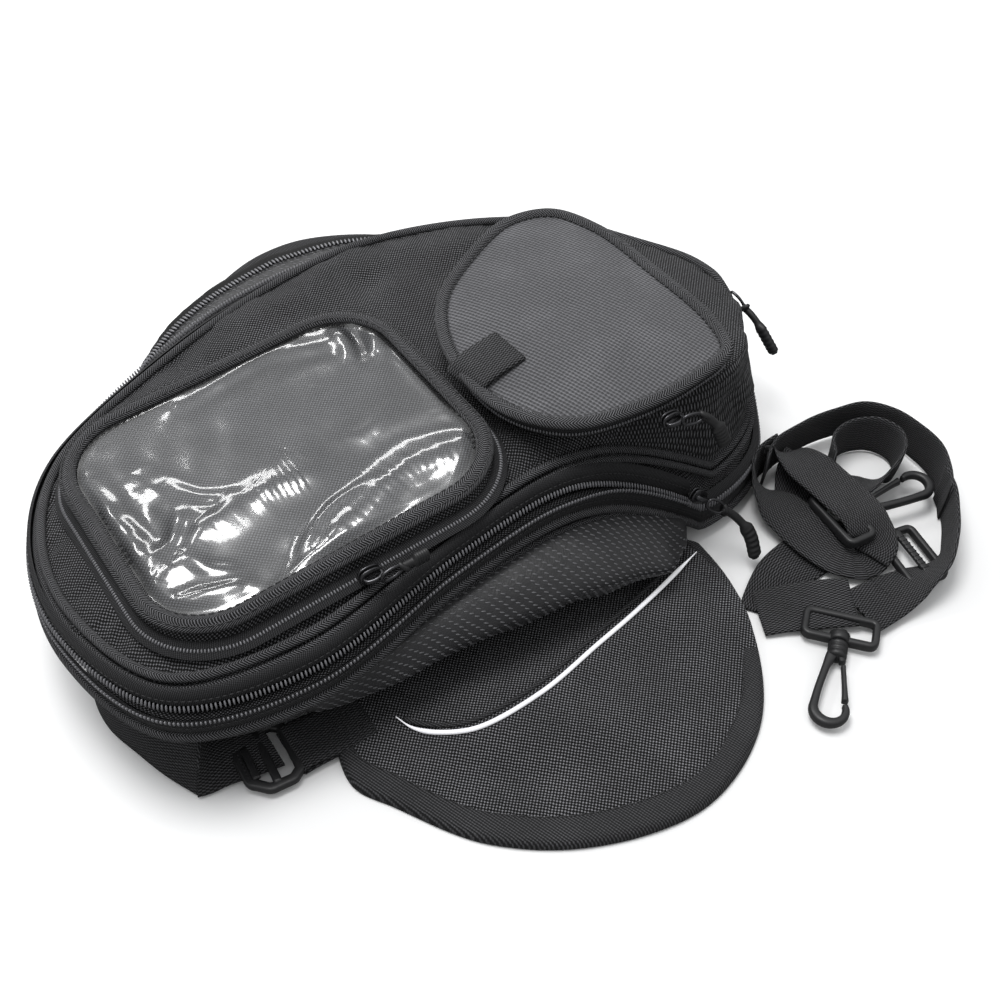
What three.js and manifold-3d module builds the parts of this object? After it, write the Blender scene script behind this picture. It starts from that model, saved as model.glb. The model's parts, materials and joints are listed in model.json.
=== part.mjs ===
// Motorcycle tank bag, lying on a floor with its shoulder strap beside it.
// Millimetres, +Z up, +X towards the nose of the bag, origin on the floor under the bag.
// Near is the -Y side and far is the +Y side.
import * as THREE from 'three';
import { mergeVertices } from 'three/addons/utils/BufferGeometryUtils.js';
import Module from 'manifold-3d';

const wasm = await Module();
wasm.setup();

// Driving dimensions
const GAP = 0.4;                    // air left between neighbouring pieces
const RING_POINTS = 48;             // points round each closed outline
const WALL = 4;                     // padded wall of the main compartment
const LID_WALL = 3;                 // foam-backed fabric of the lid
const BASE_HEIGHT = 2.8;            // the base pad fills this
const ZIP_OPENING = 6;              // the unzipped gap between tub and lid
const NEAR_ZIP = { crown: 71, crownX: -20, tailDrop: 12, noseDrop: 47, bend: 0.0052 };
const FAR_ZIP = { tail: 58, side: 66, nose: 60 };
const DECK_HEIGHT = 84;             // top of the lid, at mid length
const DECK_SLOPE = 0.07;            // the deck rises towards the nose
const PIPING_RADIUS = 2.2;
const ZIP_TAPE = { thickness: 2.4, height: 3, inset: -1.5 };
const POD_BACK = 3.7;               // the pods stand this far off the wall at their back
const WEBBING = { width: 25, thickness: 1.6 };
const FOLD_ROOM = 3.6;              // bare strip beside each flap's fold line
const NEAR_HINGE_Y = -133;
const FAR_HINGE_Y = 128;
const FLAP_LAYER = 0.9;              // each layer of a flap, with the magnets between two of them
const SKIRT = 2;                    // thickness of the fabric between base and flap
const MAGNET = { radius: 9, thickness: 1.8 };

const colours = {
  fabric: 0x1c1c1f, lidFabric: 0x2b2c30, vinyl: 0x17181a, piping: 0x202023, zip: 0x0c0c0d,
  webbing: 0x141416, plastic: 0x18191b, metal: 0x55575c, window: 0xdfe6ea, reflective: 0xd9dcde,
  board: 0x303236, magnet: 0x77797d, rubber: 0x101011, lining: 0x3a3c40,
};

const model = new THREE.Group();

function part(name, geometry, colour, options = {}) {
  const { parent = model, roughness = 0.85, metalness = 0, opacity = 1 } = options;
  const material = new THREE.MeshStandardMaterial({ color: colours[colour], roughness, metalness });
  material.opacity = opacity;
  material.transparent = opacity < 1;
  const mesh = new THREE.Mesh(geometry, material);
  mesh.name = name;
  parent.add(mesh);
  return mesh;
}

// Outlines -----------------------------------------------------------------------------------

const smooth = (t) => {
  const c = Math.min(Math.max(t, 0), 1);
  return c * c * (3 - 2 * c);
};

// A closed plan outline, read by direction from its centre, so that rings of two outlines match.
class Outline {
  constructor(points, centre) {
    this.centre = centre;
    const curve = new THREE.CatmullRomCurve3(points.map(([x, y]) => new THREE.Vector3(x, y, 0)), true);
    this.samples = curve.getPoints(400).slice(0, -1).map((p) => {
      const dx = p.x - centre[0];
      const dy = p.y - centre[1];
      return { angle: (Math.atan2(dy, dx) + 2 * Math.PI) % (2 * Math.PI), radius: Math.hypot(dx, dy) };
    });
    this.samples.sort((a, b) => a.angle - b.angle);
  }

  radius(angle) {
    const a = ((angle % (2 * Math.PI)) + 2 * Math.PI) % (2 * Math.PI);
    const list = this.samples;
    const next = list.findIndex((s) => s.angle > a);
    const high = next < 0 ? 0 : next;
    const low = (high + list.length - 1) % list.length;
    const span = (list[high].angle - list[low].angle + 2 * Math.PI) % (2 * Math.PI);
    const t = ((a - list[low].angle + 2 * Math.PI) % (2 * Math.PI)) / span;
    return list[low].radius * (1 - t) + list[high].radius * t;
  }

  onEdge(angle) {
    const r = this.radius(angle);
    return new THREE.Vector2(this.centre[0] + r * Math.cos(angle), this.centre[1] + r * Math.sin(angle));
  }

  // A point inside the edge by inset, or outside it when inset is negative.
  point(angle, inset) {
    const ahead = this.onEdge(angle + 0.02);
    const behind = this.onEdge(angle - 0.02);
    const normal = new THREE.Vector2(ahead.y - behind.y, behind.x - ahead.x).normalize();
    return this.onEdge(angle).addScaledVector(normal, -inset);
  }

  // One ring of the outline; height is a number or a function of x and y.
  ring(inset, height) {
    return Array.from({ length: RING_POINTS }, (_, i) => {
      const p = this.point((2 * Math.PI * i) / RING_POINTS, inset);
      return new THREE.Vector3(p.x, p.y, typeof height === 'function' ? height(p.x, p.y) : height);
    });
  }

  direction(x, y) {
    return Math.atan2(y - this.centre[1], x - this.centre[0]);
  }
}

// Solids -------------------------------------------------------------------------------------

function solid(points, triangles) {
  const a = new THREE.Vector3();
  let volume = 0;
  for (const [i, j, k] of triangles) volume += points[i].dot(a.crossVectors(points[j], points[k]));
  const indices = triangles.flatMap(([i, j, k]) => (volume < 0 ? [i, k, j] : [i, j, k]));
  const geometry = new THREE.BufferGeometry();
  geometry.setAttribute('position', new THREE.Float32BufferAttribute(points.flatMap((p) => p.toArray()), 3));
  geometry.setIndex(indices);
  return geometry;
}

// Joins rings of equal length. The first and last rings are closed with a fan, or joined together.
function loft(rings, { loop = false } = {}) {
  const n = rings[0].length;
  const points = rings.flat().map((p) => p.clone());
  const triangles = [];
  const steps = loop ? rings.length : rings.length - 1;
  for (let r = 0; r < steps; r += 1) {
    const low = r * n;
    const high = ((r + 1) % rings.length) * n;
    for (let i = 0; i < n; i += 1) {
      const j = (i + 1) % n;
      triangles.push([low + i, low + j, high + j], [low + i, high + j, high + i]);
    }
  }
  if (!loop) {
    [0, (rings.length - 1) * n].forEach((start, end) => {
      const centre = new THREE.Vector3();
      for (let i = 0; i < n; i += 1) centre.add(points[start + i]);
      points.push(centre.divideScalar(n));
      for (let i = 0; i < n; i += 1) {
        const j = (i + 1) % n;
        const fan = [points.length - 1, start + i, start + j];
        triangles.push(end === 0 ? [fan[0], fan[2], fan[1]] : fan);
      }
    });
  }
  return solid(points, triangles);
}

// A section carried along part of an outline. The section is a list of [inset, height] pairs and
// may change with t, which runs from 0 to 1 along the stretch.
function alongOutline(outline, from, to, count, section) {
  const rings = [];
  for (let i = 0; i < count; i += 1) {
    const t = i / (count - 1);
    const angle = from + (to - from) * t;
    rings.push(section(t, angle).map(([inset, height]) => {
      const p = outline.point(angle, inset);
      return new THREE.Vector3(p.x, p.y, height(p.x, p.y));
    }));
  }
  return loft(rings);
}

// Round piping on a closed outline.
function pipingRing(outline, inset, height, radius = PIPING_RADIUS) {
  const rings = [];
  for (let k = 0; k < 6; k += 1) {
    const a = (k / 6) * 2 * Math.PI;
    const z = (x, y) => height(x, y) + radius * Math.sin(a);
    rings.push(outline.ring(inset + radius * Math.cos(a), z));
  }
  return loft(rings, { loop: true });
}

// A flat band of webbing along a path of [x, y, z, roll]; roll 0 lies flat and roll 90 stands on edge.
function ribbon(path, { width, thickness } = WEBBING, count = 28) {
  const places = new THREE.CatmullRomCurve3(path.map(([x, y, z]) => new THREE.Vector3(x, y, z)));
  const rolls = new THREE.CatmullRomCurve3(path.map(([, , , roll], i) => new THREE.Vector3(i, roll, 0)));
  const rings = [];
  for (let i = 0; i < count; i += 1) {
    const t = i / (count - 1);
    const tangent = places.getTangent(t);
    const flat = new THREE.Vector3(-tangent.y, tangent.x, 0).normalize();
    const roll = THREE.MathUtils.degToRad(rolls.getPoint(t).y);
    const across = flat.applyAxisAngle(tangent, roll);
    const thick = new THREE.Vector3().crossVectors(tangent, across);
    rings.push([[-1, -1], [1, -1], [1, 1], [-1, 1]].map(([u, v]) => places.getPoint(t)
      .addScaledVector(across, (u * width) / 2)
      .addScaledVector(thick, (v * thickness) / 2)));
  }
  return loft(rings);
}

// A round cord along a path of points.
function cord(path, radius, count = 24) {
  const curve = new THREE.CatmullRomCurve3(path.map((p) => new THREE.Vector3(...p)));
  const rings = [];
  for (let i = 0; i < count; i += 1) {
    const tangent = curve.getTangent(i / (count - 1));
    const side = new THREE.Vector3(-tangent.y, tangent.x, 0).normalize();
    const up = new THREE.Vector3().crossVectors(tangent, side);
    rings.push(Array.from({ length: 6 }, (_, k) => curve.getPoint(i / (count - 1))
      .addScaledVector(side, radius * Math.cos((k * Math.PI) / 3))
      .addScaledVector(up, radius * Math.sin((k * Math.PI) / 3))));
  }
  return loft(rings);
}

function plate(shape, bottom, thickness, curveSegments = 3) {
  const options = { depth: thickness, bevelEnabled: false, curveSegments };
  return new THREE.ExtrudeGeometry(shape, options).translate(0, 0, bottom);
}

function roundedRectangle(width, height, radius, Kind = THREE.Shape) {
  const [x, y] = [width / 2, height / 2];
  const shape = new Kind();
  shape.moveTo(-x + radius, -y);
  shape.lineTo(x - radius, -y);
  shape.absarc(x - radius, -y + radius, radius, -Math.PI / 2, 0);
  shape.lineTo(x, y - radius);
  shape.absarc(x - radius, y - radius, radius, 0, Math.PI / 2);
  shape.lineTo(-x + radius, y);
  shape.absarc(-x + radius, y - radius, radius, Math.PI / 2, Math.PI);
  shape.lineTo(-x, -y + radius);
  shape.absarc(-x + radius, -y + radius, radius, Math.PI, 1.5 * Math.PI);
  return shape;
}

function toManifold(geometry) {
  const bare = geometry.clone();
  bare.deleteAttribute('normal');
  bare.deleteAttribute('uv');
  const merged = mergeVertices(bare, 1e-4);
  return new wasm.Manifold(new wasm.Mesh({
    numProp: 3,
    vertProperties: new Float32Array(merged.attributes.position.array),
    triVerts: new Uint32Array(merged.index.array),
  }));
}

function fromManifold(manifold) {
  const mesh = manifold.getMesh();
  const geometry = new THREE.BufferGeometry();
  geometry.setAttribute('position', new THREE.BufferAttribute(mesh.vertProperties, 3));
  geometry.setIndex(new THREE.BufferAttribute(mesh.triVerts, 1));
  return geometry;
}

const join = (...geometries) => fromManifold(geometries.map(toManifold).reduce((a, b) => a.add(b)));

// Outlines of the bag ------------------------------------------------------------------------

const BAG_CENTRE = [-35, -5];

// Top edge of the main compartment.
const tubEdge = new Outline([
  [144, -14], [142, -60], [122, -94], [86, -108], [20, -99], [-60, -104], [-130, -113], [-184, -96],
  [-203, -40], [-197, 8], [-172, 50], [-110, 86], [-45, 105], [6, 106], [64, 80], [118, 31],
], BAG_CENTRE);

// Lower edge of the lid.
const lidEdge = new Outline([
  [143, -14], [141, -59], [121, -92], [86, -106], [20, -96], [-60, -101], [-130, -110], [-182, -94],
  [-202, -39], [-196, 7], [-171, 44], [-110, 72], [-45, 88], [6, 89], [62, 68], [116, 24],
], BAG_CENTRE);

// Top pocket, seen from above: a rounded triangle with a straight front edge.
const topPocketEdge = new Outline([
  [95, 0], [97, -40], [96, -82], [88, -102], [66, -107], [36, -106], [6, -96], [-12, -70], [-12, -28],
  [4, 4], [32, 23], [62, 33], [84, 25],
], [46, -38]);

// The zip line arches along the near side, as the tank under it would press it, and is flatter on
// the far side; nearSide blends the two round the tail and the nose.
const nearSide = (y) => smooth((-y - 30) / 60);
const noseFall = (x, limit, bend) => Math.min(limit, bend * Math.max(x - NEAR_ZIP.crownX, 0) ** 2);
const tailFall = (x) => NEAR_ZIP.tailDrop * smooth((NEAR_ZIP.crownX - x) / 130);
const nearZip = (x) => NEAR_ZIP.crown - tailFall(x) - noseFall(x, NEAR_ZIP.noseDrop, NEAR_ZIP.bend);
const farZip = (x) => FAR_ZIP.tail + (FAR_ZIP.side - FAR_ZIP.tail) * smooth((x + 200) / 150)
  - (FAR_ZIP.side - FAR_ZIP.nose) * smooth((x - 80) / 60);
const lidEdgeHeight = (x, y) => farZip(x) + (nearZip(x) - farZip(x)) * nearSide(y);
const tubEdgeHeight = (x, y) => lidEdgeHeight(x, y) - ZIP_OPENING;
const deckHeight = (x) => DECK_HEIGHT + DECK_SLOPE * x;
const noseSlope = (x) => 12 * smooth((x - 90) / 50);
const rimHeight = (x, y) => deckHeight(x) - 4 - noseFall(x, 50, 0.0046) * nearSide(y)
  - noseSlope(x) * (1 - nearSide(y));
const shoulderHeight = (x) => deckHeight(x) - 1.5 - 0.7 * noseSlope(x);

// Main compartment ---------------------------------------------------------------------------

// The wall flares from the base to the zip: pairs of [share of the height, inset].
const WALL_PROFILE = [[0, 34], [0.12, 24], [0.5, 6], [1, 0]];
const tubTop = (share) => (x, y) => BASE_HEIGHT + (tubEdgeHeight(x, y) - BASE_HEIGHT) * share;

function wallInset(share) {
  const high = Math.max(1, WALL_PROFILE.findIndex(([s]) => s >= share));
  const [[s0, i0], [s1, i1]] = [WALL_PROFILE[high - 1], WALL_PROFILE[high]];
  return i0 + ((i1 - i0) * (share - s0)) / (s1 - s0);
}

function tubShell() {
  const outer = WALL_PROFILE.map(([share, inset]) => tubEdge.ring(inset, tubTop(share)));
  const inner = WALL_PROFILE.slice(1).map(([share, inset]) => tubEdge.ring(inset + WALL + 1, tubTop(share)));
  const floor = tubEdge.ring(WALL_PROFILE[0][1], BASE_HEIGHT + WALL);
  return loft([...outer, ...inner.reverse(), floor]);
}

function panel(outline, inset, bottom, top) {
  return loft([outline.ring(inset, bottom), outline.ring(inset, top)]);
}

part('tub_shell', tubShell(), 'fabric');
part('base_pad', panel(tubEdge, 36, 0, BASE_HEIGHT - GAP), 'rubber');
part('base_board', panel(tubEdge, 38, BASE_HEIGHT + WALL + GAP, BASE_HEIGHT + WALL + GAP + 2), 'board');
const raise = (height, by) => (x, y) => height(x, y) + by;
part('tub_piping', pipingRing(tubEdge, -PIPING_RADIUS - 0.2, raise(tubEdgeHeight, -8.2)), 'piping');

// The opened zip: a row of teeth on the tub and another on the lid, round the tail of the bag.
const NEAR_ZIP_END = tubEdge.direction(68, -105);
const FAR_ZIP_END = tubEdge.direction(144, -44);

function zipRow(outline, from, to, inner, bottom, top, count) {
  return alongOutline(outline, from, to, count, () => [
    [inner, bottom], [inner - ZIP_TAPE.thickness, bottom], [inner - ZIP_TAPE.thickness, top], [inner, top],
  ]);
}

part('tub_zip_row', zipRow(tubEdge, FAR_ZIP_END, NEAR_ZIP_END + 2 * Math.PI, ZIP_TAPE.inset,
  raise(tubEdgeHeight, -ZIP_TAPE.height), tubEdgeHeight, 44), 'zip', { roughness: 0.4 });

// A padded side pocket that swells out of the tub wall between two directions.
function sidePod(from, to, bulge, lean) {
  const levels = [0.2, 0.34, 0.5, 0.62];
  return alongOutline(tubEdge, from, to, 24, (t) => {
    const swell = POD_BACK + 1 + bulge * Math.sin(Math.PI * t) ** 0.55;
    const outer = levels.map((s, i) => [wallInset(s) - swell * lean[i], tubTop(s)]);
    const inner = levels.map((s) => [wallInset(s) - POD_BACK, tubTop(s)]).reverse();
    return [...outer, ...inner];
  });
}

const nearPodEnds = [tubEdge.direction(-165, -100), tubEdge.direction(66, -105)];
part('near_pod', sidePod(...nearPodEnds, 25, [0.9, 1, 0.85, 0.4]), 'vinyl', { roughness: 0.45 });
const farPodEnds = [tubEdge.direction(85, 100), tubEdge.direction(-115, 88)];
part('far_pod', sidePod(...farPodEnds, 38, [0.66, 0.92, 1, 0.7]), 'vinyl', { roughness: 0.45 });

// Lid ----------------------------------------------------------------------------------------

function lidShell() {
  const inside = (height) => (x, y) => height(x, y) - LID_WALL;
  return loft([
    lidEdge.ring(36, inside(deckHeight)),
    lidEdge.ring(12 + LID_WALL, inside(shoulderHeight)),
    lidEdge.ring(6 + LID_WALL, inside(rimHeight)),
    lidEdge.ring(LID_WALL, lidEdgeHeight),
    lidEdge.ring(0, lidEdgeHeight),
    lidEdge.ring(6, rimHeight),
    lidEdge.ring(13, shoulderHeight),
    lidEdge.ring(36, deckHeight),
  ]);
}

const lid = new THREE.Group();
model.add(lid);
part('lid_shell', lidShell(), 'fabric', { parent: lid });
part('lid_piping', pipingRing(lidEdge, 3.4, raise(rimHeight, 1.2)), 'piping', { parent: lid });
part('lid_zip_row', zipRow(lidEdge, FAR_ZIP_END, NEAR_ZIP_END + 2 * Math.PI, ZIP_TAPE.inset,
  lidEdgeHeight, raise(lidEdgeHeight, ZIP_TAPE.height), 44), 'zip', { parent: lid, roughness: 0.4 });

// Everything on the deck is built flat in a group that takes the slope of the deck.
const deck = new THREE.Group();
deck.position.z = DECK_HEIGHT + 0.5;
deck.rotation.y = -Math.atan(DECK_SLOPE);
lid.add(deck);

// Map pocket
const MAP = { x: -97, y: -30, length: 160, width: 131, corner: 34, tray: 9.4 };

function mapPlate(inset, bottom, top, holeInset) {
  const size = (by) => [MAP.length - 2 * by, MAP.width - 2 * by, MAP.corner - by];
  const shape = roundedRectangle(...size(inset));
  if (holeInset) shape.holes.push(roundedRectangle(...size(holeInset), THREE.Path));
  return plate(shape, bottom, top - bottom).translate(MAP.x, MAP.y, 0);
}

const mapTray = join(mapPlate(3, 0, 1.4), mapPlate(3, 1, MAP.tray, 5.2));
part('map_pocket_tray', mapTray, 'fabric', { parent: deck });
part('map_zip_row', mapPlate(0.6, MAP.tray - 2.6, MAP.tray - 0.2, 2.6), 'zip', {
  parent: deck, roughness: 0.4,
});
const mapLid = new THREE.Group();
mapLid.position.z = MAP.tray + GAP;
deck.add(mapLid);
part('map_lid_backing', mapPlate(1, 0, 0.7), 'lining', { parent: mapLid });
part('map_lid_frame', mapPlate(0, 1.1, 3.8, 9), 'piping', { parent: mapLid });
part('map_lid_window', mapPlate(9.4, 2.2, 3.2), 'window', {
  parent: mapLid, roughness: 0.1, opacity: 0.35,
});

// Top pocket
const TOP_TRAY = 13.6;
const topLevel = (z) => () => z;
part('top_pocket_tray', loft([
  topPocketEdge.ring(16, 0),
  topPocketEdge.ring(4, TOP_TRAY),
  topPocketEdge.ring(6.4, TOP_TRAY),
  topPocketEdge.ring(18, 1.6),
]), 'fabric', { parent: deck });
part('top_zip_row', loft([
  topPocketEdge.ring(3.4, TOP_TRAY - 5),
  topPocketEdge.ring(1.4, TOP_TRAY - 5),
  topPocketEdge.ring(1.4, TOP_TRAY - 2.6),
  topPocketEdge.ring(3.4, TOP_TRAY - 2.6),
], { loop: true }), 'zip', { parent: deck, roughness: 0.4 });
const topLid = new THREE.Group();
topLid.position.z = TOP_TRAY + GAP;
deck.add(topLid);
part('top_lid_panel', loft([
  topPocketEdge.ring(4.6, 0.3),
  topPocketEdge.ring(4.6, 3.4),
  topPocketEdge.ring(16, 4.8),
]), 'lidFabric', { parent: topLid });
part('top_lid_piping', pipingRing(topPocketEdge, 2.2, topLevel(2.3)), 'piping', { parent: topLid });
const TAB = { x: 0, y: -44, length: 25, width: 22, turn: 0.05 };
part('top_lid_tab', plate(roundedRectangle(TAB.length, TAB.width, 1), 5.3, WEBBING.thickness)
  .rotateZ(TAB.turn).translate(TAB.x, TAB.y, 0), 'webbing', { parent: topLid });

// Side flaps that hold the bag to the tank ---------------------------------------------------

// A half-round flap, flat on the floor beyond its fold line, with magnets between two layers.
function sideFlap(side, hingeY, outline, magnets, arc) {
  const prefix = side < 0 ? 'near' : 'far';
  const shape = new THREE.Shape();
  shape.moveTo(outline[0][0], hingeY + side * GAP);
  shape.splineThru(outline.slice(1, -1).map(([x, y]) => new THREE.Vector2(x, y)));
  shape.lineTo(outline[outline.length - 1][0], hingeY + side * GAP);
  const layer = (bottom) => plate(shape, bottom, FLAP_LAYER, 4);
  const magnetBottom = FLAP_LAYER + GAP;
  part(`${prefix}_flap_lining`, layer(0), 'lining');
  part(`${prefix}_flap_cover`, layer(magnetBottom + MAGNET.thickness + GAP), 'fabric');
  magnets.forEach(([x, y], i) => {
    const disc = new THREE.CylinderGeometry(MAGNET.radius, MAGNET.radius, MAGNET.thickness, 20);
    disc.rotateX(Math.PI / 2).translate(x, y, magnetBottom + MAGNET.thickness / 2);
    part(`${prefix}_magnet_${i + 1}`, disc, 'magnet', { metalness: 0.8, roughness: 0.4 });
  });
  part(`${prefix}_reflective_piping`, cord(arc, 1.6), 'reflective', { roughness: 0.35 });
}

sideFlap(-1, NEAR_HINGE_Y, [
  [-128, NEAR_HINGE_Y], [-120, -150], [-98, -185], [-62, -211], [-15, -222], [28, -206], [57, -170],
  [68, -140], [69, NEAR_HINGE_Y],
], [[-75, -170], [-25, -185], [25, -165]], [
  [-88, -138, 6.4], [-74, -144, 6.4], [-45, -146, 6.4], [-15, -142, 6.4], [10, -136.5, 6.4],
]);
sideFlap(1, FAR_HINGE_Y, [
  [-94, FAR_HINGE_Y], [-80, 150], [-48, 179], [0, 201], [35, 198], [70, 178], [94, 148], [102, 134],
  [104, FAR_HINGE_Y],
], [[-45, 155], [5, 170], [58, 155]], [
  [-60, 134, 6.4], [-40, 141, 6.4], [0, 143, 6.4], [40, 141, 6.4], [62, 134, 6.4],
]);

// The strip of flap fabric between the base and the fold line.
function skirt(name, corners) {
  const shape = new THREE.Shape(corners.map(([x, y]) => new THREE.Vector2(x, y)));
  part(name, plate(shape, 0, SKIRT), 'fabric');
}

skirt('near_skirt', [
  [-130, NEAR_HINGE_Y + FOLD_ROOM], [70, NEAR_HINGE_Y + FOLD_ROOM], [74, -120], [62, -76], [-60, -72],
  [-126, -80], [-134, -112],
]);
skirt('far_skirt', [
  [104, FAR_HINGE_Y - FOLD_ROOM], [-94, FAR_HINGE_Y - FOLD_ROOM], [-92, 62], [-45, 80], [15, 88], [60, 82],
  [92, 62], [110, 116],
]);

// Zip sliders and pulls ----------------------------------------------------------------------

// A slider block, its length along the zip, with a pull hooked to its outer face.
function slider(prefix, { at, heading, outward, pull }, parent = model) {
  const frame = new THREE.Group();
  frame.position.set(...at);
  const x = new THREE.Vector3(...heading).normalize();
  const z = new THREE.Vector3(...outward).normalize();
  const y = new THREE.Vector3().crossVectors(z, x).normalize();
  z.crossVectors(x, y);
  frame.quaternion.setFromRotationMatrix(new THREE.Matrix4().makeBasis(x, y, z));
  parent.add(frame);
  const body = new THREE.BoxGeometry(9, 7, 3).translate(0, 0, 1.5);
  const lug = new THREE.BoxGeometry(5, 2, 2.4).translate(0, 0, 4);
  part(`${prefix}_slider`, join(body, lug), 'metal', { parent: frame, metalness: 0.8, roughness: 0.35 });
  part(`${prefix}_pull`, cord(pull, 2.4, 12), 'rubber', { parent: frame, roughness: 0.6 });
}

slider('near_main', {
  at: [67, -112, 38], heading: [0.74, -0.1, -0.66], outward: [0, -1, 0.1],
  pull: [[4, 0, 7.2], [17, 0, 11.5], [28, -4, 17], [37, -13, 22]],
});
slider('far_main', {
  at: [149.2, -28, 57.5], heading: [0.05, -1, 0], outward: [1, 0.05, 0.1],
  pull: [[4, 0, 7.2], [18, 6, 8], [34, 20, 8.5]],
});
slider('map', {
  at: [-95, -99.4, 5.5], heading: [1, 0, 0], outward: [0, -1, 0],
  pull: [[4, 0, 7.2], [12, 0, 6.4], [21, -1, 6.2]],
}, deck);
slider('top', {
  at: [46, -109.6, 9.6], heading: [1, 0, 0], outward: [0, -1, 0.1],
  pull: [[4, 0, 7.2], [12, -1, 6.8], [25, -4, 6.4]],
}, deck);

// Rear anchor strap and its buckle -----------------------------------------------------------

part('rear_strap', ribbon([
  [-201, -22, 14, 90], [-204, -52, 14, 90], [-198, -80, 14, 90], [-187, -99, 14, 90], [-171, -107, 14, 90],
], WEBBING, 14), 'webbing');
part('rear_anchor_tab', plate(new THREE.Shape([[-135, -120], [-106, -118], [-106, -95], [-135, -97]]
  .map(([x, y]) => new THREE.Vector2(x, y))), SKIRT + GAP, WEBBING.thickness), 'webbing');

const BUCKLE = { length: 25, width: 30, thickness: 4 };

function buckleFrame() {
  const shape = roundedRectangle(BUCKLE.length, BUCKLE.width, 6);
  shape.holes.push(roundedRectangle(BUCKLE.length - 10, BUCKLE.width - 9, 3, THREE.Path));
  return plate(shape, 0, BUCKLE.thickness).translate(-BUCKLE.length / 2, 0, 0);
}

const rearBuckle = part('rear_buckle', buckleFrame(), 'plastic', { roughness: 0.5 });
rearBuckle.position.set(-140, -106, SKIRT + GAP);
rearBuckle.rotation.z = 0.06;

// Shoulder strap -----------------------------------------------------------------------------

part('shoulder_strap', ribbon([
  [118, -146, 12, 0], [108, -145, 14, 45], [98, -137, 15, 90], [100, -121, 15, 90], [118, -107, 15, 90],
  [148, -97, 14, 90], [176, -103, 14, 90], [193, -125, 14, 90], [194, -153, 14, 75], [183, -172, 9, 30],
  [168, -180, 4.5, 0],
  [148, -178, 4, 0], [128, -172, 4, 0], [111, -171, 5, 0],
], WEBBING, 48), 'webbing');

// A swivel hook lies along +x of its frame, from the strap loop to the tip of the hook.
const HOOK = { length: 42, bulb: 8.8, rod: 3.4, thickness: 4.4, postRadius: 2.2, loopLength: 34, bar: 4 };

function strapLoop() {
  const outer = roundedRectangle(16, HOOK.loopLength, 3);
  outer.holes.push(roundedRectangle(7.5, HOOK.loopLength - 8, 1.5, THREE.Path));
  const frame = plate(outer, -2.6, 5.2, 3);
  const hole = new THREE.CylinderGeometry(HOOK.postRadius + 0.3, HOOK.postRadius + 0.3, 10, 16);
  hole.rotateZ(Math.PI / 2).translate(6, 0, 0);
  const boss = new THREE.CylinderGeometry(4.6, 4.6, 4.3, 16).rotateZ(Math.PI / 2).translate(5.85, 0, 0);
  return fromManifold(toManifold(frame).add(toManifold(boss)).subtract(toManifold(hole)));
}

function hookBody() {
  const { length, bulb, rod } = HOOK;
  const tip = length - bulb;
  const shape = new THREE.Shape();
  shape.moveTo(0, -4);
  shape.lineTo(tip - 6, -bulb);
  shape.absarc(tip, 0, bulb, -Math.PI / 2, Math.PI * 0.62);
  const lipX = tip + bulb * Math.cos(Math.PI * 0.62);
  shape.lineTo(lipX, (bulb - rod) * 0.95);
  shape.absarc(tip, 0, bulb - rod, Math.PI * 0.6, -Math.PI / 2, true);
  shape.lineTo(tip - 8, -bulb + rod + 0.4);
  shape.lineTo(6, -1.2);
  shape.lineTo(6, 4);
  shape.lineTo(0, 4);
  const bend = plate(shape, -HOOK.thickness / 2, HOOK.thickness, 8).translate(11, 0, 0);
  const post = new THREE.CylinderGeometry(HOOK.postRadius, HOOK.postRadius, 10, 16);
  post.rotateZ(Math.PI / 2).translate(7, 0, 0);
  const head = new THREE.CylinderGeometry(3.4, 3.4, 1.4, 16).rotateZ(Math.PI / 2).translate(2.3, 0, 0);
  return join(bend, post, head);
}

function hookGate() {
  const { length, bulb } = HOOK;
  const reach = length - bulb - 3.4;
  const shape = new THREE.Shape([[0, 2.4], [0, 4], [reach - 8.4, 6.2], [reach - 8.2, 4.6]]
    .map(([x, y]) => new THREE.Vector2(x, y)));
  return plate(shape, -1.6, 3.2).translate(17.6, 0, 0);
}

function swivelHook(number, at, turn) {
  const frame = new THREE.Group();
  frame.position.set(...at);
  frame.rotation.z = turn;
  model.add(frame);
  part(`strap_loop_${number}`, strapLoop(), 'plastic', { parent: frame, roughness: 0.5 });
  part(`snap_hook_${number}`, hookBody(), 'plastic', { parent: frame, roughness: 0.5 });
  part(`hook_gate_${number}`, hookGate(), 'plastic', { parent: frame, roughness: 0.5 });
}

swivelHook(1, [90, -190, 4.8], Math.atan2(-33, -40));
swivelHook(2, [132, -146, 12], Math.atan2(-6, 50));

// The triglide's end bars pass under the strap and its middle bar over it.
function triglide() {
  const rail = (y) => new THREE.BoxGeometry(20, 2.6, 5.4).translate(0, y, 0);
  const bar = (x, z) => new THREE.BoxGeometry(3, 33, 1.4).translate(x, 0, z);
  return join(rail(15), rail(-15), bar(-8.5, -2), bar(8.5, -2), bar(0, 2));
}

const strapTriglide = part('triglide', triglide(), 'plastic', { roughness: 0.5 });
strapTriglide.position.set(148, -178, 4);
strapTriglide.rotation.z = Math.atan2(9, -40);

export default model;
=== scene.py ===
import json
import math

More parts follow.
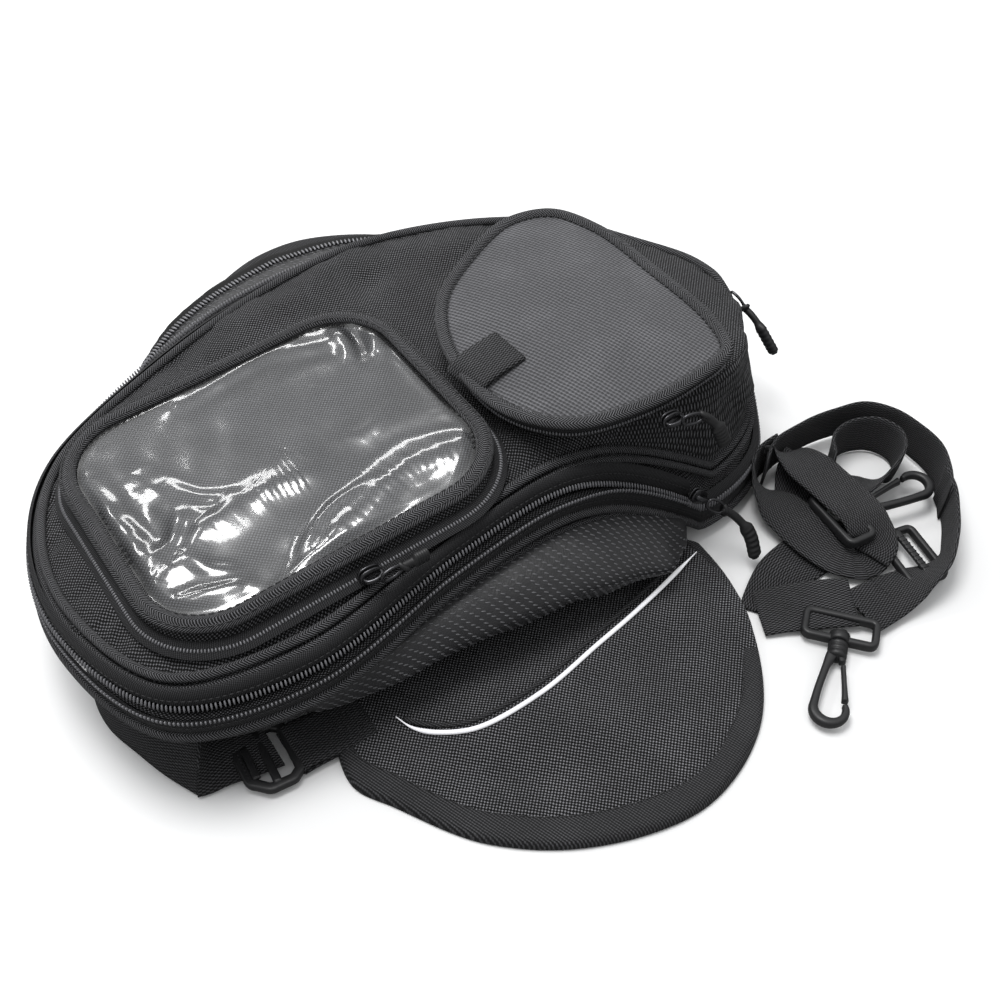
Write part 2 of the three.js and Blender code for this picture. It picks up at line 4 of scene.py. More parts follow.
import bpy
import bmesh
import numpy as np
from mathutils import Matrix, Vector

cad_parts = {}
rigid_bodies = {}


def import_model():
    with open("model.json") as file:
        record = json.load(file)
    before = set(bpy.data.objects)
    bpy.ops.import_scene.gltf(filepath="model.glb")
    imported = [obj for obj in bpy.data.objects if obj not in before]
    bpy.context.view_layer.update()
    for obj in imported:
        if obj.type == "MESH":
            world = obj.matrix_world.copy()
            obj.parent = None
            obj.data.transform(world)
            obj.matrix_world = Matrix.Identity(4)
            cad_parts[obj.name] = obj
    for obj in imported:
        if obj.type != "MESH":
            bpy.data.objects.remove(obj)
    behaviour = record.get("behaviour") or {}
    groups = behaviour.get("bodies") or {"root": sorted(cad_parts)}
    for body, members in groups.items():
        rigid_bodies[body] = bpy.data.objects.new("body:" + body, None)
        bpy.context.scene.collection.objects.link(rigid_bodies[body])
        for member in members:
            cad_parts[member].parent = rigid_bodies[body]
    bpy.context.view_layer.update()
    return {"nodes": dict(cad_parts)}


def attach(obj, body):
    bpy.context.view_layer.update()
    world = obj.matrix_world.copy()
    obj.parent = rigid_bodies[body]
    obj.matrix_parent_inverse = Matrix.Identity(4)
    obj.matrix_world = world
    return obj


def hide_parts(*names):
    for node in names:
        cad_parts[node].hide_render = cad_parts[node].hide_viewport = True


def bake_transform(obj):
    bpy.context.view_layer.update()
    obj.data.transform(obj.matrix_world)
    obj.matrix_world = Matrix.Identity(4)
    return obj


for spare in list(bpy.data.objects):
    bpy.data.objects.remove(spare)
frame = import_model()

# Lengths are millimetres until a mesh is made. +X is the nose of the bag, -Y its near side, +Z up.
MM = 0.001
TURN = 2 * math.pi
UP = np.array([0, 0, 1.0])
CLEAR = 0.3                     # how far webbing stays above the floor


# Curves ----

def smooth(t):
    c = np.clip(t, 0, 1)
    return c * c * (3 - 2 * c)


def catmull(points, closed=False, samples=16):
    """A centripetal Catmull-Rom curve through the points, with this many samples per stretch."""
    p = np.asarray(points, float)
    if closed:
        p = np.vstack([p[-1], p, p[0], p[1]])
    else:
        p = np.vstack([2 * p[0] - p[1], p, 2 * p[-1] - p[-2]])
    places = p[:, :3]
    rows = []
    for k in range(1, len(p) - 2):
        d0, d1, d2 = (max(np.linalg.norm(places[k + i] - places[k + i - 1]), 1e-6) ** 0.5 for i in (0, 1, 2))
        a, b, c, d = p[k - 1], p[k], p[k + 1], p[k + 2]
        m1 = ((b - a) / d0 - (c - a) / (d0 + d1) + (c - b) / d1) * d1
        m2 = ((c - b) / d1 - (d - b) / (d1 + d2) + (d - c) / d2) * d1
        t = (np.arange(samples) / samples)[:, None]
        rows.append(b + m1 * t + (-3 * b + 3 * c - 2 * m1 - m2) * t ** 2 + (2 * b - 2 * c + m1 + m2) * t ** 3)
    rows = np.vstack(rows)
    return rows if closed else np.vstack([rows, p[-2]])


def lengths(path, closed=False):
    steps = np.linalg.norm(np.diff(path, axis=0), axis=1)
    if closed:
        steps = np.append(steps, np.linalg.norm(path[0] - path[-1]))
    return np.concatenate([[0], np.cumsum(steps)])


def resample(path, count, closed=False):
    """The path again, as count points at equal distances."""
    path = np.asarray(path, float)
    s = lengths(path[:, :3], closed)
    full = np.vstack([path, path[0]]) if closed else path
    t = np.linspace(0, s[-1], count, endpoint=not closed)
    return np.stack([np.interp(t, s, full[:, k]) for k in range(full.shape[1])], 1)


def tangents(path, closed=False):
    if closed:
        d = np.roll(path, -1, 0) - np.roll(path, 1, 0)
    else:
        d = np.gradient(path, axis=0)
    return d / np.maximum(np.linalg.norm(d, axis=1), 1e-9)[:, None]


def unit(v):
    v = np.asarray(v, float)
    return v / np.maximum(np.linalg.norm(v, axis=-1, keepdims=True), 1e-9)


def upward(path):
    """The upward direction, once for each point of a path."""
    return np.tile([0, 0, 1.0], (len(path), 1))


def ripples(p, scale, seed, count=9):
    """Smooth irregular waves of about unit height at points p."""
    rng = np.random.default_rng(seed)
    total = np.zeros(p.shape[:-1])
    for _ in range(count):
        direction = unit(rng.normal(size=3))
        total += np.sin(p @ direction * TURN / (scale * rng.uniform(0.7, 1.6)) + rng.uniform(0, TURN))
    return total / math.sqrt(count)


def ridge(p, line, width):
    """1 on the curve through the points of the line, falling to 0 beside it and towards its ends."""
    line = np.asarray(line, float)
    k = line.shape[1]
    full = np.column_stack([line, np.zeros((len(line), 3 - k))]) if k < 3 else line
    spots = resample(catmull(full, samples=12), 28)[:, :k]
    away = np.linalg.norm(p[..., None, :k] - spots, axis=-1)
    near = np.argmin(away, axis=-1)
    share = np.sin(np.pi * (near + 0.5) / len(spots)) ** 0.6
    return np.exp(-((away.min(-1) / width) ** 2)) * (0.25 + 0.75 * share)


class Outline:
    """A closed plan outline, resampled evenly, with outward normals."""

    def __init__(self, points, count=360):
        curve = catmull(points, closed=True, samples=40)
        area = np.sum(curve[:, 0] * np.roll(curve[:, 1], -1) - curve[:, 1] * np.roll(curve[:, 0], -1))
        if area < 0:
            curve = curve[::-1]
        self.edge = resample(curve, count, closed=True)
        t = tangents(self.edge, closed=True)
        self.normal = np.stack([t[:, 1], -t[:, 0]], 1)
        self.outward = np.column_stack([self.normal, np.zeros(count)])

    def ring(self, inset, height):
        """The ring this far inside the edge; height is a number or a function of x and y."""
        p = self.edge - self.normal * np.reshape(inset, (-1, 1))
        z = height(p[:, 0], p[:, 1]) if callable(height) else np.broadcast_to(height, len(p))
        return np.column_stack([p, z])

    def nearest(self, x, y):
        return int(np.argmin(np.hypot(self.edge[:, 0] - x, self.edge[:, 1] - y)))

    def stretch(self, start, end):
        """Indices anticlockwise from the place nearest start to the one nearest end."""
        i, j = self.nearest(*start), self.nearest(*end)
        count = (j - i) % len(self.edge) + 1
        return (i + np.arange(count)) % len(self.edge)


# Meshes ----

def put(name, data):
    """A new object in the scene."""
    thing = bpy.data.objects.new(name, data)
    bpy.context.scene.collection.objects.link(thing)
    return thing


def quads(r, c, rows, cols, u, v):
    """The faces and UVs of grid cells r, c, where u runs along a row and v across the rows."""
    corners = ((r, c), (r, c + 1), (r + 1, c + 1), (r + 1, c))
    faces = np.stack([(a % rows) * cols + b % cols for a, b in corners], -1)
    uvs = np.stack([np.stack([u[b], v[a]], -1) for a, b in corners], 2)
    return faces.reshape(-1, 4), uvs.reshape(-1, 4, 2)


class Build:
    """Gathers surfaces into one mesh. UV coordinates are millimetres along the cloth."""

    def __init__(self):
        self.verts, self.faces, self.uvs, self.count = [], [], [], 0

    def add(self, verts, faces, uvs):
        self.verts.append(np.asarray(verts, float).reshape(-1, 3))
        self.faces.append(np.asarray(faces, int) + self.count)
        self.uvs.append(np.asarray(uvs, float))
        self.count += len(self.verts[-1])
        return self

    def grid(self, points, wrap=False, caps=(False, False)):
        """Rows by columns of points; wrap joins the last column to the first, caps close the end rows."""
        points = np.asarray(points, float)
        rows, cols = points.shape[:2]
        around = np.concatenate([points, points[:, :1]], 1) if wrap else points
        middle = around[rows // 2]
        u = lengths(middle)
        v = lengths(points[:, 0])
        across = around.shape[1] - 1
        r, c = np.meshgrid(np.arange(rows - 1), np.arange(across), indexing="ij")
        self.add(points, *quads(r, c, rows, cols, u, v))
        start = self.count - rows * cols
        for row, wanted in ((0, caps[0]), (rows - 1, caps[1])):
            if wanted:
                centre = points[row].mean(0)
                ids = np.arange(cols)
                base = start - self.count + row * cols
                fan = np.stack([np.zeros(cols, int), base + ids, base + (ids + 1) % cols], 1)
                flat = points[row][:, :2]
                uv = np.stack([np.repeat(centre[None, :2], cols, 0), flat, np.roll(flat, -1, 0)], 1)
                self.add(centre, fan, uv)
        return self

    def copies(self, template, places, x_axes, y_axes, z_axes):
        """One copy of the template per place, turned to its axes."""
        verts, faces = template
        count = len(places)
        out = (places[:, None] + verts[None, :, 0, None] * x_axes[:, None]
               + verts[None, :, 1, None] * y_axes[:, None] + verts[None, :, 2, None] * z_axes[:, None])
        ids = (faces[None] + (np.arange(count) * len(verts))[:, None, None]).reshape(-1, faces.shape[1])
        return self.add(out.reshape(-1, 3), ids, out.reshape(-1, 3)[ids][..., :2])

    def make(self, name, material, body, slot, nodes=(), subdivide=0):
        """Turns what was gathered into a piece that rides on a body and stands in for solids of the frame."""
        verts = np.vstack(self.verts) * MM
        mesh = bpy.data.meshes.new(name)
        faces = [face for part in self.faces for face in part.tolist()]
        mesh.from_pydata(verts.astype(np.float32), [], faces)
        layer = mesh.uv_layers.new(name="cloth")
        uvs = np.concatenate([part.reshape(-1, 2) for part in self.uvs])
        layer.data.foreach_set("uv", uvs.astype(np.float32).ravel())
        work = bmesh.new()
        work.from_mesh(mesh)
        bmesh.ops.recalc_face_normals(work, faces=work.faces)
        work.to_mesh(mesh)
        work.free()
        mesh.polygons.foreach_set("use_smooth", np.full(len(mesh.polygons), True))
        piece = put(name, mesh)
        mesh.materials.append(material)
        if subdivide:
            modifier = piece.modifiers.new("smooth", "SUBSURF")
            modifier.levels = modifier.render_levels = subdivide
        if isinstance(body, str):
            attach(piece, body)
        if nodes:
            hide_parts(*nodes)
        return piece


def skin(rows, *made, wrap=True, caps=(True, True)):
    """One piece from rows of points; what follows the rows goes to Build.make."""
    return Build().grid(np.array(rows), wrap=wrap, caps=caps).make(*made)


def sweep(build, path, section, closed=False, up=(0, 0, 1), scale=None, caps=True):
    """Carries a closed section of (side, up) pairs along a path; scale gives each place's size."""
    path = np.asarray(path, float)
    t = tangents(path, closed)
    side = unit(np.cross(t, np.broadcast_to(np.asarray(up, float), t.shape)))
    lift = np.cross(side, t)
    scale = np.ones((len(path), 2)) if scale is None else np.asarray(scale, float)
    section = np.asarray(section, float)
    points = (path[None] + section[:, None, 0, None] * (side * scale[:, :1])[None]
              + section[:, None, 1, None] * (lift * scale[:, 1:])[None])
    if closed:
        return ring_grid(build, points)
    return build.grid(points.transpose(1, 0, 2), wrap=True, caps=(caps, caps))


def ring_grid(build, points):
    """A tube closed both ways: points are section by path."""
    k, n = points.shape[:2]
    c, r = np.meshgrid(np.arange(n), np.arange(k), indexing="ij")
    u = lengths(points[0], closed=True)
    v = lengths(points[:, 0], closed=True)
    return build.add(points, *quads(r, c, k, n, u, v))


def circle(radius, count=12, squash=1.0):
    a = np.arange(count) * TURN / count
    return np.column_stack([radius * np.cos(a), radius * squash * np.sin(a)])


def rounded_box(width, height, radius, steps=3):
    points = []
    for k, (sx, sy) in enumerate(((1, 1), (-1, 1), (-1, -1), (1, -1))):
        for i in range(steps + 1):
            a = (k + i / steps) * math.pi / 2
            points.append((sx * (width / 2 - radius) + radius * math.cos(a),
                           sy * (height / 2 - radius) + radius * math.sin(a)))
    return np.array(points)


def bead(long, wide, tall):
    """A small rounded bar, long along x."""
    rings = []
    for x, r in ((-0.5, 0.0), (-0.42, 0.7), (0.0, 1.0), (0.42, 0.7), (0.5, 0.0)):
        a = np.arange(6) * TURN / 6
        rings.append(np.column_stack([np.full(6, x * long), r * wide / 2 * np.cos(a),
                                      r * tall / 2 * np.sin(a)]))
    verts = np.vstack([rings[0][:1], rings[1], rings[2], rings[3], rings[4][:1]])
    faces = []
    for i in range(6):
        j = (i + 1) % 6
        faces += [(0, 1 + j, 1 + i), (19, 13 + i, 13 + j)]
        for k in (1, 7):
            faces += [(k + i, k + j, k + 6 + j), (k + i, k + 6 + j, k + 6 + i)]
    return verts, np.array(faces)


# Cloth ----

def settle(points, wrap, pins, pressure, frames=14, cap=5.0, grow=0.0):
    """Runs the grid as cloth with air behind it and returns where its points come to rest."""
    build = Build().grid(points, wrap=wrap)
    scale = MM * 10                                # small cloth settles better when it is enlarged
    verts = build.verts[0] * scale
    mesh = bpy.data.meshes.new("cloth_work")
    mesh.from_pydata(verts.tolist(), [], build.faces[0].tolist())
    mesh.update()
    work = put("cloth_work", mesh)
    group = work.vertex_groups.new(name="pins")
    for index in np.flatnonzero(pins):
        group.add([int(index)], 1.0, "REPLACE")
    modifier = work.modifiers.new("cloth", "CLOTH")
    for key, value in dict(
            quality=6, mass=0.3, tension_stiffness=25, compression_stiffness=25, shear_stiffness=8,
            bending_stiffness=0.6, tension_damping=15, compression_damping=15, vertex_group_mass="pins",
            pin_stiffness=1, shrink_min=-grow, shrink_max=-grow, use_pressure=True,
            uniform_pressure_force=pressure).items():
        setattr(modifier.settings, key, value)
    modifier.settings.effector_weights.gravity = 0
    modifier.collision_settings.use_collision = False
    scene = bpy.context.scene
    for step in range(1, frames + 1):
        scene.frame_set(step)
    shape = work.evaluated_get(bpy.context.evaluated_depsgraph_get())
    out = read(shape.data.vertices, "co", 3) / scale
    bpy.data.objects.remove(work)
    scene.frame_set(1)
    move = out - build.verts[0]
    far = np.linalg.norm(move, axis=1)
    move *= (np.minimum(far, cap) / np.maximum(far, 1e-9))[:, None]
    return (build.verts[0] + move).reshape(points.shape)


def relax(points, passes, wrap=False):
    """Averages each inner point with its neighbours."""
    p = points.copy()
    for _ in range(passes):
        q = p.copy()
        if wrap:
            side = (np.roll(p, 1, 1) + np.roll(p, -1, 1)) / 2
            q[1:-1] = 0.5 * p[1:-1] + 0.25 * side[1:-1] + 0.125 * (p[:-2] + p[2:])
        else:
            q[1:-1, 1:-1] = (0.5 * p[1:-1, 1:-1] + 0.125 * (p[:-2, 1:-1] + p[2:, 1:-1])
                             + 0.125 * (p[1:-1, :-2] + p[1:-1, 2:]))
        p = q
    return p


def sample(grid, row, column):
    """Values of a grid at fractional rows and columns."""
    r = np.clip(row, 0, grid.shape[0] - 1.001)
    c = np.clip(column, 0, grid.shape[1] - 1.001)
    i, j = r.astype(int), c.astype(int)
    f, g = (r - i)[:, None], (c - j)[:, None]
    top = grid[i, j] * (1 - g) + grid[i, j + 1] * g
    low = grid[i + 1, j] * (1 - g) + grid[i + 1, j + 1] * g
    return top * (1 - f) + low * f


def read(items, key, width=1, kind=float):
    """One property of every item of a mesh collection, as rows of an array."""
    out = np.zeros(len(items) * width, kind)
    items.foreach_get(key, out)
    return out.reshape(-1, width)


def planar_uv(piece, steepest=0.0):
    """Gives faces that lie flatter than this UVs straight from above, so that the weave runs one way."""
    mesh = piece.data
    layer = mesh.uv_layers["cloth"]
    places = read(mesh.vertices, "co", 3)[read(mesh.loops, "vertex_index", kind=np.int32)[:, 0]]
    sizes = read(mesh.polygons, "loop_total", kind=np.int32)[:, 0]
    flat = np.repeat(np.abs(read(mesh.polygons, "normal", 3)[:, 2]) > steepest, sizes)
    uv = read(layer.data, "uv", 2)
    uv[flat] = (places[:, :2] / MM)[flat]
    layer.data.foreach_set("uv", uv.astype(np.float32).ravel())


def surface_normals(points, wrap=False):
    du = (np.roll(points, -1, 1) - np.roll(points, 1, 1)) if wrap else np.gradient(points, axis=1)
    dv = np.gradient(points, axis=0)
    return unit(np.cross(du, dv))


# Materials ----

class Shader:
    """A node material under construction: each call adds a node and gives back its output."""

    def __init__(self, name, owner=None):
        self.material = owner or bpy.data.materials.new(name)
        self.material.use_nodes = True
        self.tree = self.material.node_tree
        self.tree.nodes.clear()

    def node(self, kind, inputs=None, **settings):
        node = self.tree.nodes.new("ShaderNode" + kind)
        for key, value in settings.items():
            setattr(node, key, value)
        for key, value in (inputs or {}).items():
            if isinstance(value, bpy.types.NodeSocket):
                self.tree.links.new(value, node.inputs[key])
            else:
                node.inputs[key].default_value = value
        return node

    def math(self, operation, a, b=0.0, c=0.0):
        return self.node("Math", {0: a, 1: b, 2: c}, operation=operation).outputs[0]

    def times(self, a, b):
        return self.math("MULTIPLY", a, b)

    def plane(self):
        """u and v in millimetres, from the piece's own UV map."""
        uv = self.node("UVMap", uv_map="cloth").outputs[0]
        split = self.node("SeparateXYZ", {0: uv})
        return split.outputs[0], split.outputs[1]

    def place(self):
        """The position in the piece's own frame, in millimetres."""
        coordinate = self.node("TexCoord").outputs["Object"]
        return self.node("VectorMath", {0: coordinate, "Scale": 1 / MM},
                         operation="SCALE").outputs[0]

    def noise(self, scale, detail=2.0, vector=None):
        inputs = {"Scale": scale, "Detail": detail, "Vector": vector if vector is not None else self.place()}
        return self.node("TexNoise", inputs).outputs["Fac"]

    def wave(self, value, pitch, phase=0.0):
        """cos(2 pi value / pitch)"""
        return self.math("COSINE", self.math("MULTIPLY_ADD", value, TURN / pitch, phase))

    def ramp(self, value, low, high, to_low=0.0, to_high=1.0):
        inputs = {"Value": value, "From Min": low, "From Max": high, "To Min": to_low, "To Max": to_high}
        return self.node("MapRange", inputs).outputs[0]

    def mix(self, factor, a, b):
        return self.node("Mix", {0: factor, 6: a, 7: b}, data_type="RGBA").outputs[2]

    def bump(self, height, distance, strength=1.0, normal=None):
        inputs = {"Height": height, "Distance": distance * MM, "Strength": strength}
        if normal is not None:
            inputs["Normal"] = normal
        return self.node("Bump", inputs).outputs[0]

    def finish(self, **inputs):
        surface = self.node("BsdfPrincipled", inputs)
        self.node("OutputMaterial", {"Surface": surface.outputs[0]})
        return self.material


def grey(value, tint=1.06):
    return (value, value, value * tint, 1.0)


def dot_weave(s, u, v, pitch):
    return s.times(s.wave(u, pitch), s.wave(v, pitch))


def twill(s, u, v, pitch):
    along = s.math("ADD", s.times(u, 0.94), s.times(v, 0.34))
    across = s.math("SUBTRACT", s.times(v, 0.94), s.times(u, 0.34))
    rib = s.wave(along, pitch)
    thread = s.wave(across, pitch * 1.1)
    return s.math("ADD", s.times(rib, 0.7), s.times(thread, 0.3))


def herringbone(s, u, v, pitch):
    zig = s.math("PINGPONG", v, 2.6)
    return s.wave(s.math("MULTIPLY_ADD", zig, 0.9, u), pitch)


def belt_weave(s, u, v, pitch):
    column = s.math("FLOOR", s.math("DIVIDE", v, pitch * 1.3))
    rib = s.math("COSINE", s.math("ADD", s.times(u, TURN / pitch), s.times(column, math.pi)))
    groove = s.math("ABSOLUTE", s.wave(v, pitch * 2.6))
    return s.times(rib, s.math("SUBTRACT", 1.0, s.times(groove, 0.45)))


def cloth_material(name, pattern, pitch, dark, light, depth=0.3, roughness=0.7, sheen=0.05, low=-0.2,
                   high=0.8):
    """Woven cloth: thread pattern, uneven thread tone, lint, rubbed patches and a soft sheen."""
    s = Shader(name)
    u, v = s.plane()
    wobble = s.times(s.math("SUBTRACT", s.noise(0.35), 0.5), pitch * 0.35)
    threads = pattern(s, s.math("ADD", u, wobble), s.math("ADD", v, wobble), pitch)
    tone = s.ramp(threads, low, high)
    uneven = s.ramp(s.noise(1.4, 3.0), 0.3, 0.7, 0.65, 1.25)
    rubbed = s.ramp(s.noise(0.035, 3.0), 0.45, 0.75, 0.0, 0.35)
    base = s.mix(s.times(tone, uneven), grey(dark), grey(light))
    colour = s.mix(s.times(rubbed, tone), base, grey(light * 1.7))
    fine = s.bump(s.noise(4.0, 2.0), 0.05)
    normal = s.bump(threads, depth, normal=fine)
    return s.finish(**{"Base Color": colour, "Roughness": roughness, "Normal": normal, "Sheen Weight": sheen,
                       "Sheen Roughness": 0.4, "Specular IOR Level": 0.22})


def moulded_material(name, tone, roughness, grain=0.03, metallic=0.0, scale=2.5):
    """Moulded or metal parts: fine grain, faint scuffs and an uneven gloss."""
    s = Shader(name)
    scuffs = s.ramp(s.noise(0.6, 5.0), 0.55, 0.8, 0.0, 0.5)
    colour = s.mix(scuffs, grey(tone), grey(tone * 1.8))
    gloss = s.ramp(s.noise(0.25, 3.0), 0.3, 0.7, roughness * 0.85, roughness * 1.2)
    return s.finish(**{"Base Color": colour, "Roughness": gloss, "Metallic": metallic,
                       "Normal": s.bump(s.noise(scale, 3.0), grain)})


def vinyl_material():
    """Embossed vinyl: fine leather grain with a low uneven shine."""
    s = Shader("pod_vinyl")
    place = s.place()
    cells = s.node("TexVoronoi", {"Vector": place, "Scale": 0.9},
                   feature="DISTANCE_TO_EDGE").outputs[0]
    grain = s.ramp(cells, 0.0, 0.12)
    colour = s.mix(s.noise(0.05, 3.0), grey(0.018), grey(0.034))
    normal = s.bump(grain, 0.05, normal=s.bump(s.noise(0.12, 2.0), 0.5))
    gloss = s.ramp(s.noise(0.2, 3.0), 0.3, 0.7, 0.36, 0.5)
    return s.finish(**{"Base Color": colour, "Roughness": gloss, "Normal": normal, "Specular IOR Level": 0.5})


def silver_material():
    """Reflective cord with a fine bead bump; its faint white emission is a painted glow for the light the
    beads send back.
    """
    s = Shader("reflective_piping")
    beads = s.noise(5.0, 2.0)
    colour = s.mix(s.ramp(s.noise(0.3, 3.0), 0.4, 0.7), grey(0.85), grey(0.95))
    # The white emission is painted light: the cord glows with no lamp on it.
    return s.finish(**{"Base Color": colour, "Roughness": 0.35, "Normal": s.bump(beads, 0.04),
                       "Emission Color": (1, 1, 1, 1), "Emission Strength": 0.28})


def window_material():
    """Clear flexible film: what lies below shows through, with a hard shine on top."""
    s = Shader("window_film")
    normal = s.bump(s.noise(0.06, 1.0), 0.5)
    facing = s.node("Fresnel", {"IOR": 1.5, "Normal": normal}).outputs[0]
    share = s.math("MULTIPLY_ADD", facing, 1.8, 0.08)
    clear = s.node("BsdfTransparent", {"Color": (0.93, 0.94, 0.95, 1)}).outputs[0]
    crisp = s.node("BsdfGlossy", {"Roughness": 0.1, "Normal": normal}).outputs[0]
    hazy = s.node("BsdfGlossy", {"Roughness": 0.3, "Normal": normal}).outputs[0]
    shine = s.node("MixShader", {0: 0.38, 1: crisp, 2: hazy}).outputs[0]
    mixed = s.node("MixShader", {0: share, 1: clear, 2: shine}).outputs[0]
    s.node("OutputMaterial", {"Surface": mixed})
    return s.material


SHELL = cloth_material("shell_fabric", dot_weave, 1.7, 0.002, 0.17, low=-0.05, high=0.95)
FLAP = cloth_material("flap_fabric", dot_weave, 1.85, 0.003, 0.25, low=-0.05, high=0.95)
EDGE = cloth_material("flap_binding", twill, 1.1, 0.01, 0.075, depth=0.15)
TOP = cloth_material("top_lid_fabric", twill, 1.6, 0.045, 0.15, low=-0.8, high=0.8)
BINDING = cloth_material("herringbone_binding", herringbone, 1.2, 0.005, 0.15)
BELT = cloth_material("webbing", belt_weave, 1.3, 0.005, 0.095, depth=0.3)
TAPE = cloth_material("zip_tape", twill, 0.8, 0.012, 0.05, depth=0.08)
BACKING = cloth_material("map_backing", dot_weave, 1.75, 0.012, 0.21, depth=0.1, roughness=0.6)
# Near-black cloth laid in the open far pod zip as painted shade of the hollow.
GAP_SHADE = cloth_material("zip_painted_shade", twill, 1.2, 0.002, 0.006, depth=0.05)
THREAD = moulded_material("stitch_thread", 0.03, 0.6)
# The coil's light grey tone is painted highlight: it stands in for the light the teeth catch.
COIL = moulded_material("zip_coil", 0.21, 0.24, 0.01)
# The dashes are far lighter than the vinyl they are pressed into: painted highlight on the raised dashes.
DASH = moulded_material("pod_embossing", 0.12, 0.42, 0.01)
PLASTIC = moulded_material("hardware_plastic", 0.018, 0.42, 0.03)
METAL = moulded_material("slider_metal", 0.07, 0.25, 0.01, metallic=0.9)
RUBBER = moulded_material("pull_rubber", 0.012, 0.5, 0.03)
PAD = moulded_material("base_rubber", 0.02, 0.75, 0.15, scale=0.8)
BOARD = moulded_material("board", 0.06, 0.6)
MAGNET = moulded_material("magnet", 0.35, 0.35, 0.01, metallic=1.0)
SILVER = silver_material()
VINYL = vinyl_material()
FILM = window_material()


# Shape of the bag, as in the solids ----

TUB = Outline([
    (144, -14), (142, -60), (122, -94), (86, -108), (20, -99), (-60, -104), (-130, -113), (-184, -96),
    (-203, -40), (-197, 8), (-172, 50), (-110, 86), (-45, 105), (6, 106), (64, 80), (118, 31)])
LID = Outline([
    (143, -14), (141, -59), (121, -92), (86, -106), (20, -96), (-60, -101), (-130, -110), (-182, -94),
    (-202, -39), (-196, 7), (-171, 44), (-110, 72), (-45, 88), (6, 89), (62, 68), (116, 24)])
POCKET = Outline([
    (95, 0), (97, -40), (96, -82), (88, -102), (66, -107), (36, -106), (6, -96), (-12, -70), (-12, -28),
    (4, 4), (32, 23), (62, 33), (84, 25)], count=260)
SLIT_FRONT, SLIT_NEAR = (144, -44), (68, -105)     # the closed stretch of the main zip, round the nose
CROWN_X = -20                    # where the main zip stands highest
DECK_Z, DECK_SIN, DECK_COS = 84.5, 0.0698, 0.9976      # the deck rises four degrees towards the nose


def near_side(y):
    return smooth((-y - 30) / 60)


def nose_fall(x, limit, bend):
    return np.minimum(limit, bend * np.maximum(x - CROWN_X, 0) ** 2)


def near_zip(x):
    return 71 - 12 * smooth((CROWN_X - x) / 130) - nose_fall(x, 47, 0.0052)


def far_zip(x):
    return 58 + 8 * smooth((x + 200) / 150) - 6 * smooth((x - 80) / 60)


def lid_edge(x, y):
    return far_zip(x) + (near_zip(x) - far_zip(x)) * near_side(y)


def tub_edge(x, y):
    return lid_edge(x, y) - 6


def above(edge, lift):
    """The height function that runs this far above another."""
    return lambda x, y: edge(x, y) + lift


def between(low, high, share):
    """The height function this share of the way from one to another."""
    return lambda x, y: low(x, y) + (high(x, y) - low(x, y)) * share


def deck_height(x):
    return 84 + 0.07 * x


def nose_slope(x):
    return 12 * smooth((x - 90) / 50)


def rim(x, y):
    return deck_height(x) - 4 - nose_fall(x, 50, 0.0046) * near_side(y) - nose_slope(x) * (1 - near_side(y))


def shoulder(x, y):
    return deck_height(x) - 1.5 - 0.7 * nose_slope(x)


def deck(points):
    """From the flat deck's own frame, which rises towards the nose, to the bag's frame."""
    p = np.asarray(points, float)
    x, y, z = p[..., 0], p[..., 1], p[..., 2]
    return np.stack([x * DECK_COS - z * DECK_SIN, y, DECK_Z + x * DECK_SIN + z * DECK_COS], -1)


def deck_turn(v):
    return deck(v) - deck(np.zeros(3))


WALL = np.array([(0, 34), (0.12, 24), (0.5, 6), (1, 0)], float)
BASE = 2.8


def wall_ring(share, lift=0.0):
    inset = np.interp(share, WALL[:, 0], WALL[:, 1]) - lift
    return TUB.ring(inset, lambda x, y: BASE + (tub_edge(x, y) - BASE) * share)


# Repeated details ----

def stitches(build, path, outward, pitch=3.6, long=2.5, closed=False, wide=0.55):
    """A row of thread stitches along a path, each lying on the cloth."""
    total = lengths(path, closed)[-1]
    count = max(int(total / pitch), 2)
    both = resample(np.hstack([path, outward]), count, closed)
    places, away = both[:, :3], unit(both[:, 3:])
    along = tangents(places, closed)
    side = unit(np.cross(away, along))
    return build.copies(bead(long, wide, wide * 0.7), places, along, side, unit(np.cross(along, side)))


def teeth(build, path, outward, across, closed=False, pitch=1.7, long=3.2):
    """Zip coils: bars across the tape at an even pitch."""
    total = lengths(path, closed)[-1]
    both = resample(np.hstack([path, outward, across]), max(int(total / pitch), 2), closed)
    places, away, bar = both[:, :3], unit(both[:, 3:6]), unit(both[:, 6:9])
    side = unit(np.cross(away, bar))
    return build.copies(bead(long, pitch * 0.58, 1.4), places, bar, side, unit(np.cross(bar, side)))


def ribbon(build, path, width=25.0, thick=1.5, step=1.6, wave=0.25, seed=1):
    """Webbing along a path of (x, y, z, roll): roll 0 lies flat and roll 90 stands on edge."""
    path = np.asarray(path, float)
    fine = catmull(path, samples=24)
    fine = resample(fine, max(int(lengths(fine[:, :3])[-1] / step), 8))
    centre, roll = fine[:, :3], np.radians(fine[:, 3])
    t = tangents(centre)
    flat = unit(np.stack([-t[:, 1], t[:, 0], np.zeros(len(t))], 1))
    lift = np.cross(t, flat)
    across = flat * np.cos(roll)[:, None] + lift * np.sin(roll)[:, None]
    normal = np.cross(t, across)
    top = np.linspace(-width / 2 + 0.8, width / 2 - 0.8, 9)
    section = np.vstack([np.column_stack([top, np.full(9, thick / 2)]), [[width / 2, 0]],
                         np.column_stack([top[::-1], np.full(9, -thick / 2)]), [[-width / 2, 0]]])
    cup = (section[:, 0] / (width / 2)) ** 2
    bulge = wave * ripples(centre, 34, seed)
    points = (centre[None] + section[:, :1, None] * across[None]
              + (section[:, 1:2] + (cup[:, None] - 0.5) * bulge[None])[..., None] * normal[None])
    points[..., 2] = np.maximum(points[..., 2], CLEAR)
    return build.grid(points.transpose(1, 0, 2), wrap=True, caps=(True, True))


